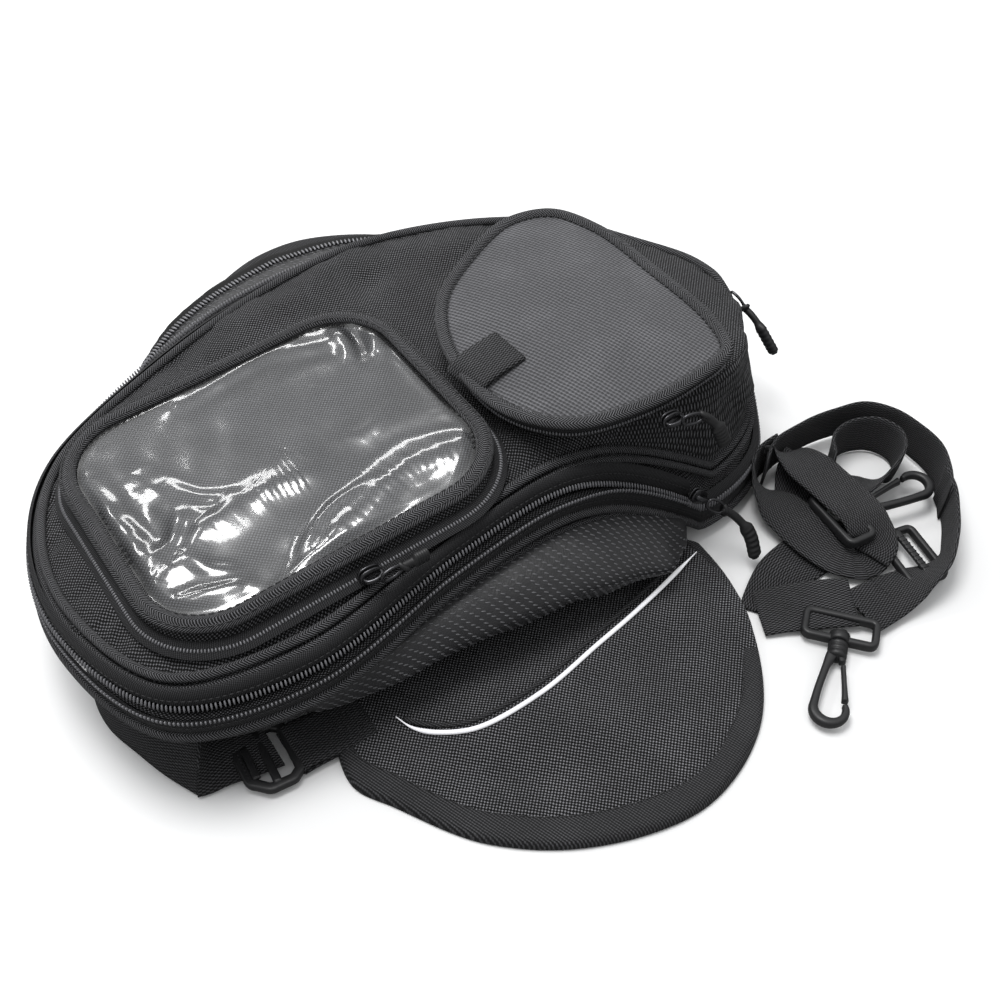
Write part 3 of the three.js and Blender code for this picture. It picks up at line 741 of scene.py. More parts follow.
def rounded_path(length, width, corner, centre, count):
    """A rounded rectangle in the deck's plane, anticlockwise, with its outward normals."""
    box = rounded_box(length, width, corner, 24)
    path = resample(box, count, closed=True)
    t = tangents(path, closed=True)
    return path + np.asarray(centre), np.stack([t[:, 1], -t[:, 0]], 1)


# Main compartment ----

def tub_shell():
    """Padded walls that flare from the base to the zip, with the plain inside and the floor."""
    shares = np.concatenate([np.linspace(0, 0.12, 5), np.linspace(0.18, 1, 24)])
    outer = np.array([wall_ring(s) for s in shares])
    normal = surface_normals(outer, wrap=True)
    sag = 0.9 * ripples(outer, 60, 3) * np.sin(np.pi * shares)[:, None]
    outward = np.sign(np.sum(normal * (outer - outer.mean((0, 1))), -1))
    outer = outer + normal * sag[..., None] * outward[..., None]
    inner = np.array([wall_ring(s, -4) for s in shares[::-1][:-5:3]]) - 0.6 * UP
    floor = np.array([TUB.ring(33, 6.0)])
    skin(np.concatenate([outer, inner, floor]), "tub_shell_cloth", SHELL, "tub", "shell_fabric",
         ["tub_shell"])


def base_pad():
    ring = [TUB.ring(37.5, 0.0), TUB.ring(36, 0.7), TUB.ring(36, 2.0), TUB.ring(37, 2.5)]
    skin(ring, "base_pad_rubber", PAD, "tub", "base_rubber", ["base_pad"])


def bound_piping(name, path, radius, body, nodes=()):
    """A bound cord on a closed path, slightly flattened."""
    cord = sweep(Build(), path, circle(radius, 14, 0.92), closed=True)
    return cord.make(name, BINDING, body, "binding", nodes)


def meet(x, y):
    """How far the two rows of the open zip have come together, towards the near slider."""
    return 2.5 * smooth(x / 36) * near_side(y) * (x < 90)


def tub_trim():
    height = above(tub_edge, -9.5)
    bound_piping("tub_piping_bound", TUB.ring(-1.6, height), 2.3, "tub", ["tub_piping"])
    rows = [TUB.ring(-0.6, above(tub_edge, -7.4)), TUB.ring(-1.5, above(tub_edge, -7.2)),
            TUB.ring(-1.7, lambda x, y: tub_edge(x, y) - 1.0 + meet(x, y)),
            TUB.ring(-0.7, lambda x, y: tub_edge(x, y) - 0.2 + meet(x, y))]
    skin(rows, "tub_zip_tape", TAPE, "tub", "zip_coil", caps=(False, False))
    open_part = TUB.stretch(SLIT_FRONT, SLIT_NEAR)
    path = TUB.ring(-2.4, lambda x, y: tub_edge(x, y) + 0.2 + meet(x, y))[open_part]
    out = TUB.outward[open_part]
    teeth(Build(), path, out, upward(path) + 0.35 * out).make(
        "tub_zip_coil", COIL, "tub", "zip_coil", ["tub_zip_row"])
    seam = TUB.ring(-1.9, above(tub_edge, -3.6))
    stitches(Build(), seam, TUB.outward, closed=True, pitch=2.6, long=1.9).make(
        "tub_zip_stitches", THREAD, "tub", "zip_coil")


def front_zip():
    """The stretch of the main zip that is still closed, round the nose and the near front corner."""
    part = TUB.stretch(SLIT_NEAR, SLIT_FRONT)
    rows = [TUB.ring(i, above(tub_edge, z))[part]
            for i, z in ((1.2, -2.5), (-0.9, -1.5), (-1.3, 3), (-0.9, 7.5), (2.2, 9))]
    skin(rows, "closed_zip_tape", TAPE, "tub", "zip_coil", wrap=False, caps=(False, False))
    path = TUB.ring(-1.7, above(tub_edge, 3))[part]
    out = TUB.outward[part]
    teeth(Build(), path, out, upward(path), long=5).make(
        "closed_zip_coil", COIL, "tub", "zip_coil")


def pod(name, start, end, bulge, growth, shares, lean, node, seed):
    """A vinyl side pocket swelling from the wall, with rows of embossed dashes."""
    part = TUB.stretch(start, end)
    part = part[np.linspace(0, len(part) - 1, 110).astype(int)]
    t = np.linspace(0, 1, len(part))
    swell = bulge * growth(t)
    profile = np.linspace(0, 1, 30)
    rows = []
    for q in profile:
        share = shares[0] + (shares[1] - shares[0]) * (0.5 - 0.5 * math.cos(math.pi * q)) * 0.92 + 0.04 * q
        push = math.sin(math.pi * min(max(q, 0), 1)) ** 0.62 * (1 + lean * (0.5 - q))
        base = np.interp(share, WALL[:, 0], WALL[:, 1])
        p = TUB.edge[part] - TUB.normal[part] * (base - 0.4 - swell * push)[:, None]
        z = BASE + (tub_edge(*TUB.edge[part].T) - BASE) * share
        rows.append(np.column_stack([p, z]))
    grid = np.array(rows)
    pins = np.zeros(grid.shape[:2])
    pins[0] = pins[-1] = 1
    pins[:, 0] = pins[:, -1] = 1
    grid = settle(grid, False, pins, 3.0, frames=12, cap=5.0)
    grid = relax(grid, 3)
    normal = surface_normals(grid)
    outward = TUB.outward[part][None]
    normal *= np.sign(np.sum(normal * outward, -1))[..., None]
    fade = np.sin(np.pi * profile)[:, None] * np.sin(np.pi * t)[None]
    grid = grid + normal * (0.5 * ripples(grid, 26, seed) * fade)[..., None]
    back = grid - normal * 1.2
    shell = np.concatenate([grid, back[::-1]], 0)
    Build().grid(shell).make(name, VINYL, "tub", "pod_vinyl", [node], subdivide=1)
    dashes(grid, normal, name)
    trim = Build()
    sweep(trim, resample(grid[-2], 120), circle(1.5, 8))
    sweep(trim, resample(grid[1], 120), circle(1.3, 8))
    trim.make(name + "_welt", BINDING, "tub", "binding")
    return grid, normal


def dashes(grid, normal, name):
    """Slanting lines of short embossed dashes across a pod."""
    rows, cols = grid.shape[:2]
    total = lengths(grid[rows // 2])[-1]
    emboss = Build()
    q = np.linspace(0, 1, 40)
    for start in np.arange(-30, total, 4.6):
        column = (start + 34 * q) / total * (cols - 1)
        row = (0.94 - 0.86 * q) * (rows - 1)
        keep = (column > 3) & (column < cols - 5)
        if keep.sum() < 8:
            continue
        path = sample(grid, row[keep], column[keep])
        both = resample(np.hstack([path, sample(normal, row[keep], column[keep])]),
                        int(lengths(path)[-1] / 2.7) + 2)
        place, away = both[:, :3], unit(both[:, 3:])
        along = tangents(place)
        slant = unit(along + 0.5 * np.cross(away, along))
        emboss.copies(bead(2.3, 0.75, 0.55), place, slant, unit(np.cross(away, slant)), away)
    emboss.make(name + "_dashes", DASH, "tub", "pod_vinyl")


def far_pod_zip(grid, normal):
    """The open pocket zip over the far pod: two toothed arcs, with a near-black sheet between them that
    paints the shade of the opening.
    """
    for row, name in ((18, "outer"), (26, "inner")):
        path, away = grid[row, 6:-6], normal[row, 6:-6]
        up = unit(grid[row + 1, 6:-6] - grid[row - 1, 6:-6])
        teeth(Build(), path + away * 1.1, away, up, pitch=2.1, long=4.2).make(
            f"far_pod_zip_coil_{name}", COIL, "tub", "zip_coil")
    # A near-black sheet in the gap paints the shade inside the open pocket.
    gap = grid[19:27, 5:-5] + normal[19:27, 5:-5] * 0.7
    Build().grid(gap).make("far_pod_zip_painted_shade", GAP_SHADE, "tub", "zip_coil")


# Main lid ----

def lid_shell():
    """The lid: a creased side panel from the zip up to the piping, and the padded deck."""
    side = [LID.ring(6 * q, between(lid_edge, rim, q)) for q in np.linspace(0, 1, 15)]
    turn = [LID.ring(6 + 7 * q, between(rim, shoulder, math.sin(q * math.pi / 2)))
            for q in np.linspace(0.12, 1, 7)]
    edge = LID.ring(13, shoulder)
    middle = np.array([-30.0, -12.0])
    top = []
    for q in np.linspace(0.04, 0.94, 20):
        p = edge[:, :2] + (middle - edge[:, :2]) * q
        z = edge[:, 2] + (deck_height(p[:, 0]) - edge[:, 2]) * smooth(q / 0.3)
        top.append(np.column_stack([p, z]))
    outer = np.array(side + turn + top)
    pins = np.zeros(outer.shape[:2])
    pins[:2] = pins[14] = 1
    pins[26:] = 1
    outer = settle(outer, True, pins, 1.2, frames=10, cap=3.0, grow=0.02)
    outer = relax(outer, 1, wrap=True)
    normal = surface_normals(outer, wrap=True)
    normal *= np.sign(normal[..., 2:] + 0.4 * np.sum(normal[..., :2] * LID.normal[None], -1, keepdims=True))
    depth = 0.8 * ripples(outer, 46, 5) + 0.35 * ripples(outer, 15, 6)
    fade = np.ones(len(outer))
    fade[:2] = 0
    fade[13:16] = 0.2
    corner = np.exp(-(((outer[..., 0] - 118) / 34) ** 2 + ((outer[..., 1] + 88) / 34) ** 2))
    for line, deep, wide in CREASES:
        depth = depth + deep * ridge(outer, line, wide)
    depth = depth + corner * 1.4 * ripples(outer, 21, 9)
    outer = outer + normal * (depth * fade[:, None])[..., None]
    inner = [LID.ring(3, lid_edge), LID.ring(9, above(rim, -3.4)),
             LID.ring(16, above(shoulder, -3.4)), LID.ring(36, lambda x, y: deck_height(x) - 3.4)]
    shell = np.concatenate([outer[::-1], np.array(inner)])
    skin(shell, "lid_shell_cloth", SHELL, "main_lid", "shell_fabric", ["lid_shell"])
    planar_uv(bpy.data.objects["lid_shell_cloth"], 0.7)


# Creases of the lid: the line they follow, depth (minus is inwards) and width.
CREASES = [
    (((92, -104, 78), (104, -99, 58), (120, -92, 38)), -3.2, 5),
    (((104, -97, 78), (120, -87, 60), (134, -74, 42)), 3.0, 6),
    (((118, -84, 82), (134, -66, 64), (141, -50, 48)), -3.0, 5),
    (((76, -104, 76), (86, -106, 60), (92, -106, 44)), 2.2, 5),
    (((128, -62, 80), (138, -44, 66), (143, -20, 54)), 2.0, 6),
    (((-186, -84, 76), (-168, -84, 79), (-150, -70, 80)), -1.8, 6),
    (((-180, -92, 66), (-150, -104, 70), (-120, -100, 80)), 1.4, 7),
    (((-160, -100, 72), (-110, -104, 70)), -1.6, 5),
    (((-2, -104, 78), (-12, -84, 83), (-24, -60, 85)), -2.2, 6), (((-30, -100, 80), (30, -102, 76)), 1.3, 5),
    (((-14, 20, 86), (-6, 50, 85), (-10, 80, 82)), -2.2, 7), (((-60, 60, 83), (10, 84, 80)), 1.8, 8),
    (((-150, 52, 76), (-90, 66, 80)), -1.6, 7), (((-22, 44, 86), (14, 58, 85), (50, 62, 82)), -1.4, 8),
]


def lid_trim():
    upper = above(rim, 1.3)
    bound_piping("lid_piping_bound", LID.ring(5.2, upper), 2.0, "main_lid", ["lid_piping"])
    lower = lambda x, y: rim(x, y) - np.minimum(2.6, 0.3 * (rim(x, y) - lid_edge(x, y)))
    bound_piping("lid_second_piping", LID.ring(2.5, lower), 1.7, "main_lid")
    open_part = TUB.stretch(SLIT_FRONT, SLIT_NEAR)
    taped = open_part[9:]                                   # clear of the slider when the lid is up
    rows = [LID.ring(i, above(lid_edge, z))[taped]
            for i, z in ((0.8, 9.6), (-0.8, 8.8), (-1.3, 5.0))]
    rows += [LID.ring(i, lambda x, y, z=z: lid_edge(x, y) + z - meet(x, y))[taped]
             for i, z in ((-1.4, 1.2), (-0.4, 0.2))]
    skin(rows, "lid_zip_tape", TAPE, "main_lid", "zip_coil", wrap=False, caps=(False, False))
    out = LID.outward[open_part]
    path = LID.ring(-2.6, lambda x, y: lid_edge(x, y) + 0.6 - meet(x, y))[open_part]
    teeth(Build(), path, out, upward(path) - 0.3 * out).make(
        "lid_zip_coil", COIL, "main_lid", "zip_coil", ["lid_zip_row"])
    seam = LID.ring(-1.9, above(lid_edge, 4.6))[taped]
    stitches(Build(), seam, out[9:], pitch=2.6, long=1.9).make(
        "lid_zip_stitches", THREAD, "main_lid", "zip_coil")


MAP_CENTRE = (-97, -30)
MAP_SIZE = (160, 131, 34)        # length, width and corner radius
MAP_LIFT = 9.8                   # foot of the map lid above the deck


def map_ring(inset, z, count=320):
    length, width, corner = MAP_SIZE
    path, normal = rounded_path(length - 2 * inset, width - 2 * inset, max(corner - inset, 3), MAP_CENTRE,
                                count)
    z = np.broadcast_to(z, len(path))
    return np.column_stack([path, z]), np.column_stack([normal, np.zeros(len(path))])


def map_pocket():
    """Gusset wall, zip, bound lid edge, grey backing and the crumpled clear film."""
    profile = ((-3.5, -0.6), (-3.2, 1.0), (-1.0, 3.4), (1.2, 6.0), (2.4, 8.6), (3.4, 9.2), (5.2, 8.9),
               (5.8, 2.0), (12, 1.6))
    rows = [map_ring(i, z)[0] for i, z in profile]
    walls = deck(np.array(rows))
    walls[:6] += 0.35 * ripples(walls[:6], 20, 11)[..., None] * UP
    skin(walls, "map_pocket_gusset", SHELL, "main_lid", "shell_fabric", ["map_pocket_tray"])
    path, out = map_ring(-3.0, 3.1)
    inward = -out * 0.8 + np.array([0, 0, 0.6])
    teeth(Build(), deck(path), deck_turn(out * 0.6 + [0, 0, 0.8]), deck_turn(inward), closed=True, pitch=1.35,
          long=1.7).make("map_zip_coil", COIL, "main_lid", "zip_coil", ["map_zip_row"])
    tape = [map_ring(i, z)[0] for i, z in ((-5.6, 0.6), (-4.4, 2.0), (-1.8, 3.9), (0.0, 5.2), (0.6, 4.6))]
    Build().grid(deck(np.array(tape)), wrap=True).make("map_zip_tape", TAPE, "main_lid", "zip_coil")

    profile = [(1.0, 0.2), (-0.2, 0.9), (-0.6, 2.0), (0.2, 3.2), (1.4, 3.5), (2.0, 4.4), (4.0, 4.9),
               (6.0, 4.3), (6.8, 3.2), (6.4, 1.2), (4.0, 0.5), (2.0, 0.2)]
    rings = np.array([deck(map_ring(i, z + MAP_LIFT)[0]) for i, z in profile])
    rings += 0.18 * ripples(rings, 24, 12)[..., None] * UP
    bound = Build()
    ring_grid(bound, rings)
    bound.make("map_lid_binding", BINDING, "map_lid", "binding", ["map_lid_frame"])
    seam = Build()
    for inset in (0.8, 5.8):
        path, _ = map_ring(inset, MAP_LIFT + (3.9 if inset < 5 else 4.7))
        stitches(seam, deck(path), upward(path), closed=True, pitch=3.4, long=2.4)
    seam.make("map_lid_stitches", THREAD, "map_lid", "binding")

    profile = ((8, 0.2), (8, 0.7), (30, 0.8), (55, 0.8))
    backing = np.array([deck(map_ring(i, MAP_LIFT + z)[0]) for i, z in profile])
    backing[2:] += 0.3 * ripples(backing[2:], 40, 14)[..., None] * UP
    skin(backing, "map_lid_back", BACKING, "map_lid", "lining", ["map_lid_backing"])
    planar_uv(bpy.data.objects["map_lid_back"])
    film()


# Folds of the film, in the deck's plane: the line they follow, height and width.
FOLDS = [
    (((-27, -76), (-56, -71), (-85, -79), (-121, -94)), 3.4, 8.5),
    (((-24, -64), (-52, -52), (-74, -60)), -1.0, 6),
    (((-93, -46), (-114, -45), (-138, -50), (-164, -64)), 3.2, 9),
    (((-138, -44), (-146, -24), (-150, -2)), 2.2, 7),
    (((-166, 4), (-165, -20), (-163, -44), (-162, -58)), 2.6, 5.5),
    (((-152, -14), (-156, -36), (-150, -56)), -1.1, 6),
    (((-164, -74), (-151, -78), (-138, -82)), 2.4, 4.2), (((-40, 22), (-41, 8), (-44, -4)), 2.6, 4.2),
    (((-27, 16), (-29, 4), (-33, -6)), 2.4, 4.2), (((-33, 20), (-35, 6), (-38, -2)), -1.6, 3.6),
    (((-20, 2), (-21, -24), (-25, -52)), 2.6, 8), (((-70, 24), (-52, 16), (-38, 12)), 1.6, 6),
    (((-120, 20), (-96, 22), (-74, 26)), 1.4, 5), (((-110, -74), (-122, -84), (-134, -88)), -1.2, 6),
    (((-76, -66), (-94, -70), (-112, -80)), 1.3, 3.2), (((-124, -38), (-134, -30), (-140, -16)), 1.4, 4),
    (((-60, -10), (-76, -24), (-92, -32)), 1.2, 11), (((-44, -34), (-58, -42), (-70, -40)), 1.3, 6),
    (((-150, -58), (-146, -68), (-138, -74)), 1.6, 3.6), (((-160, -50), (-152, -46), (-144, -36)), 1.5, 3.4),
]


def film():
    rows = []
    centre = np.array(MAP_CENTRE, float)
    edge, _ = map_ring(6.2, 0.0)
    for q in np.linspace(0, 0.985, 80):
        p = edge[:, :2] + (centre - edge[:, :2]) * q
        flat = np.column_stack([p, 0 * p[:, 0]])
        z = 3.3 + 0.5 * ripples(flat, 48, 21) + 0.16 * ripples(flat, 17, 22)
        crumple = 0
        for line, high, wide in FOLDS:
            fold = ridge(p, line, wide)
            z = z + high * fold
            crumple = crumple + abs(high) * fold
        z = z + 0.05 * np.minimum(crumple, 2.5) * ripples(flat, 9, 23)
        rise = smooth(np.full(len(p), q / 0.07))
        rows.append(deck(np.column_stack([p, MAP_LIFT + np.maximum(2.6 + (z - 2.6) * rise, 1.4)])))
    skin(rows, "map_lid_film", FILM, "map_lid", "window_film", ["map_lid_window"], caps=(False, True))


TOP_LIFT = 14.0                  # foot of the top pocket's lid above the deck


def top_pocket():
    """The rounded pocket: flared wall, zip, bound edge, crowned ribbed lid and its webbing tab."""
    profile = ((15.5, -0.4), (14, 1.2), (10.5, 4.4), (7.4, 8.4), (4.6, 12.2), (3.8, 13.6), (6.2, 13.6),
               (9, 10), (17, 1.8))
    walls = np.array([deck(POCKET.ring(i, z)) for i, z in profile])
    walls[1:5] += (0.55 * ripples(walls[1:5], 26, 31))[..., None] * np.array([0, 0, 0.4])
    skin(walls, "top_pocket_wall", SHELL, "main_lid", "shell_fabric", ["top_pocket_tray"])
    out = POCKET.outward
    path = POCKET.ring(3.4, 9.9)
    teeth(Build(), deck(path), deck_turn(out + [0, 0, 0.25]), deck_turn(upward(path) + 0.3 * out),
          closed=True, pitch=1.35, long=1.9).make(
              "top_zip_coil", COIL, "main_lid", "zip_coil", ["top_zip_row"])
    tape = [POCKET.ring(i, z) for i, z in ((6.6, 6.0), (5.4, 6.2), (3.2, 12.6), (4.2, 13.2))]
    Build().grid(deck(np.array(tape)), wrap=True).make("top_zip_tape", TAPE, "main_lid", "zip_coil")

    centre = np.array([46.0, -38.0])
    rows = [POCKET.ring(4.4, TOP_LIFT + 0.4)]
    edge = POCKET.ring(4.0, 0)
    for q in np.linspace(0, 0.97, 26):
        p = edge[:, :2] + (centre - edge[:, :2]) * q
        rows.append(np.column_stack([p, TOP_LIFT + 2.4 + 2.3 * np.sqrt(smooth(np.full(len(p), q / 0.55)))]))
    pad = deck(np.array(rows))
    pins = np.zeros(pad.shape[:2])
    pins[:3] = 1
    pad = settle(pad, True, pins, 2.2, frames=12, cap=2.6)
    pad[3:] += 0.22 * ripples(pad[3:], 48, 33)[..., None] * UP
    skin(pad, "top_lid_pad", TOP, "top_lid", "lid_fabric", ["top_lid_panel"])
    planar_uv(bpy.data.objects["top_lid_pad"])
    section = np.array([(-3.2, -1.6), (-3.5, 0.2), (-2.6, 1.9), (-0.6, 2.5), (1.4, 2.0), (2.7, 0.6),
                        (2.4, -1.2), (0, -1.9)])
    build = Build()
    path = deck(POCKET.ring(2.9, TOP_LIFT + 2.5))
    sweep(build, path, section, closed=True)
    build.make("top_lid_binding", BINDING, "top_lid", "binding", ["top_lid_piping"], subdivide=1)
    seam = deck(POCKET.ring(6.4, TOP_LIFT + 3.9))
    stitches(Build(), seam, upward(seam), closed=True, pitch=3.2, long=2.3).make(
        "top_lid_stitches", THREAD, "top_lid", "binding")
    tab = Build()
    line = [(-13.5, -45.6, TOP_LIFT + 1.0, 0), (-10.8, -45.2, TOP_LIFT + 4.4, 0),
            (-4, -44.6, TOP_LIFT + 6.2, 0), (6, -44, TOP_LIFT + 6.9, 0),
            (12.2, -43.6, TOP_LIFT + 6.9, 0)]
    ribbon(tab, [(*deck(np.array(p[:3])), p[3]) for p in line], width=22, thick=1.7, wave=0.1, seed=2)
    tab.make("top_lid_webbing_tab", BELT, "top_lid", "webbing", ["top_lid_tab"])


# Side flaps ----

NEAR_FLAP = [(-118, -98), (-126, -114), (-129, -133), (-120, -150), (-98, -185), (-62, -211), (-15, -222),
             (28, -206), (57, -170), (68, -140), (70, -128), (71, -116)]
FAR_FLAP = [(-86, 92), (-93, 110), (-95, 128), (-80, 150), (-48, 179), (0, 201), (35, 198), (70, 178),
            (94, 148), (102, 134), (105, 122), (105, 108)]


BORDER = 12.5                    # width of the smooth bound edge of a flap


def flap(prefix, side, curve, hinge_y, root, fold, arc, seed):
    """Half-round cloth flap with a smooth bound edge, running on under the pod as one sheet."""
    def bend(piece):
        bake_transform(piece)

    rimmed = resample(catmull([(*p, 0) for p in curve], samples=24), 150)
    root_line = resample(catmull([(*p, 0) for p in root], samples=24), 150)
    shares = np.concatenate([np.linspace(0, 0.82, 34), np.linspace(0.84, 1.0, 12)])
    sheet = np.array([root_line + (rimmed - root_line) * q for q in shares])
    span = np.linalg.norm(rimmed - root_line, axis=1)
    inside = (1 - shares)[:, None] * span[None]
    border = smooth((BORDER - inside) / 1.5)
    edge_round = np.sqrt(np.clip(inside / 1.6, 0, 1))
    thick = 4.6 - 1.0 * border
    rise = sum(ridge(sheet[..., :2], line, wide) * high for line, high, wide in fold)
    top = 1.0 + thick * edge_round - 0.8
    outside = smooth(side * (sheet[..., 1] - hinge_y) / 14)
    swell = (0.55 * ripples(sheet, 62, seed) + 0.9) * np.clip(inside / 30, 0, 1)
    top = top + swell * (0.3 + 0.7 * outside) + rise
    top = np.where(side * (sheet[..., 1] - hinge_y) < 0, np.maximum(top, 2.6), top)
    bottom = np.full_like(top, 0.15)
    upper = np.dstack([sheet[..., 0], sheet[..., 1], top])
    lower = np.dstack([sheet[..., 0], sheet[..., 1], bottom])
    loop = np.concatenate([upper, lower[::-1]], 0)
    build = Build()
    build.grid(np.concatenate([loop, loop[:1]]))
    piece = build.make(f"{prefix}_flap_cloth", FLAP, None, "shell_fabric",
                       [f"{prefix}_flap_cover", f"{prefix}_skirt", f"{prefix}_flap_lining"])
    planar_uv(piece)
    bend(piece)

    inner = root_line + (rimmed - root_line) * (1 - BORDER / span)[:, None]
    strip = np.array([inner + (rimmed - inner) * q for q in (-0.02, 0.02, 0.25, 0.5, 0.75, 0.93, 1.02, 1.03)])
    heights = np.array([4.2, 5.0, 5.2, 5.1, 4.9, 4.3, 2.2, 0.3])
    strip[..., 2] = heights[:, None] + 0.2 * ripples(strip, 40, seed + 4)
    bound = Build().grid(strip).make(f"{prefix}_flap_binding", EDGE, None, "shell_fabric")
    planar_uv(bound)
    bend(bound)
    seam = strip[1] * 1.0
    seam[:, 2] += 0.25
    sewn = stitches(Build(), seam, upward(seam), pitch=3.4).make(
        f"{prefix}_flap_stitches", THREAD, None, "shell_fabric")
    bend(sewn)

    spots = upper.reshape(-1, 3)

    def on_cloth(line, lift):
        nearest = np.argmin(((line[:, None, :2] - spots[None, :, :2]) ** 2).sum(-1), axis=1)
        height = np.maximum(spots[nearest, 2] + lift, line[:, 2])
        even = np.convolve(np.pad(height, 4, "edge"), np.full(9, 1 / 9), "valid")
        return np.column_stack([line[:, :2], even])

    welt = on_cloth(resample(catmull(arc, samples=20), 90) + np.array([0, -side * 4.6, 0.6]), 0.7)
    bend(sweep(Build(), welt[4:-4], circle(1.0, 8)).make(f"{prefix}_flap_welt", EDGE, None, "shell_fabric"))
    cordline = on_cloth(resample(catmull(arc, samples=20), 90), 1.0)
    taper = np.clip(np.minimum(np.linspace(0, 12, 90), np.linspace(12, 0, 90)), 0.25, 1)[:, None]
    silver = sweep(Build(), cordline, circle(1.05, 10), scale=np.repeat(taper, 2, 1))
    bend(silver.make(f"{prefix}_silver_piping", SILVER, None, "reflective", [f"{prefix}_reflective_piping"]))


# Zip sliders and pulls ----

def local_frame(at, heading, outward):
    x = unit(heading)
    z = unit(outward)
    y = unit(np.cross(z, x))
    z = np.cross(x, y)
    return np.asarray(at, float), np.stack([x, y, z])


def placed(points, where):
    origin, axes = where
    return origin + np.asarray(points, float) @ axes


def slider(prefix, where, pull, to_frame):
    """A cast slider with its bridge, and a corded rubber pull on a wire link."""
    fix = lambda p: to_frame(placed(p, where))
    turn = lambda v: fix(v) - fix([0, 0, 0])
    build = Build()
    shell = np.array([(-4.6, 2.1), (-3.2, 3.4), (0, 3.7), (3.0, 2.9), (4.7, 1.4), (4.7, -1.4), (3.0, -2.9),
                      (0, -3.7), (-3.2, -3.4), (-4.6, -2.1)])
    shell = resample(catmull(np.column_stack([shell, np.zeros(10)]), closed=True, samples=6), 36,
                     closed=True)[:, :2]
    for low, high in ((0.0, 1.1), (1.9, 3.0)):
        rows = [np.column_stack([shell * k, np.full(len(shell), z)])
                for k, z in ((0.88, low), (1.0, low + 0.25), (1.0, high - 0.25), (0.88, high))]
        build.grid(fix(rows), wrap=True, caps=(True, True))
    core = [np.column_stack([shell * 0.6, np.full(len(shell), z)]) for z in (0.9, 2.2)]
    build.grid(fix(core), wrap=True, caps=(True, True))
    arch = catmull([(-3.4, 0, 2.8), (-3.0, 0, 4.4), (-1, 0, 5.4), (2, 0, 5.5), (4.0, 0, 4.4), (4.2, 0, 2.8)],
                    samples=8)
    sweep(build, fix(arch), rounded_box(1.5, 2.2, 0.6), up=turn([0, 1, 0]))
    build.make(prefix + "_slider_body", METAL, prefix + "_slider", "slider_metal", [prefix + "_slider"])

    link = Build()
    start = np.array(pull[0])
    along = unit(np.array(pull[1]) - start)
    side = np.array([0, 1.0, 0])
    loop = ((-1.6, 0), (-0.8, 1.9), (2, 2.7), (5, 2.6), (7.4, 1.6), (8.2, 0), (7.4, -1.6), (5, -2.6),
            (2, -2.7), (-0.8, -1.9))
    ring = [start + along * a + side * b for a, b in loop]
    ring = resample(catmull(ring, closed=True, samples=8), 70, closed=True)
    sweep(link, fix(ring), circle(0.75, 8), closed=True, up=turn(np.cross(along, side)))
    link.make(prefix + "_pull_link", METAL, prefix + "_pull", "slider_metal")

    path = catmull([start + along * 7.2] + [np.array(p) for p in pull[1:]], samples=20)
    path = resample(path, 80)
    t = np.linspace(0, 1, 80)
    width = 1.45 + 1.15 * smooth((t - 0.4) / 0.12) - 1.2 * smooth((t - 0.94) / 0.06)
    ribs = 0.16 * np.sin(t * 75) * (t > 0.5) * (t < 0.9)
    thick = 1.25 + 0.45 * smooth((t - 0.35) / 0.12) - 0.8 * smooth((t - 0.94) / 0.06) + ribs
    pull_mesh = Build()
    sweep(pull_mesh, fix(path), circle(1.35, 12), up=turn([0, 0, 1]),
          scale=np.column_stack([width, thick]))
    turns = ((0, 2, 0), (1.6, 0, 1.8), (3, -2, 0), (1.6, 0, -1.8))
    knot = catmull([start + along * 7.2 + np.array(k) for k in turns], closed=True, samples=8)
    sweep(pull_mesh, fix(knot), circle(1.1, 8), closed=True, up=turn(along))
    pull_mesh.make(prefix + "_pull_cord", RUBBER, prefix + "_pull", "pull_rubber", [prefix + "_pull"])


# Straps and hardware ----

def edged_band(build, low, high, thick=1.5, seed=1):
    """Webbing given by its two edges, each a line of points."""
    count = 48
    a, b = resample(catmull(low, samples=12), count), resample(catmull(high, samples=12), count)
    across = np.linspace(0, 1, 11)[:, None, None]
    face = a[None] + (b - a)[None] * across
    normal = surface_normals(face)
    face = face + normal * (0.5 * ripples(face, 30, seed) * np.sin(np.pi * across[..., 0]))[..., None]
    loop = np.concatenate([face + normal * thick / 2, (face - normal * thick / 2)[::-1]])
    loop[..., 2] = np.maximum(loop[..., 2], CLEAR)
    return build.grid(loop.transpose(1, 0, 2), wrap=True, caps=(True, True))


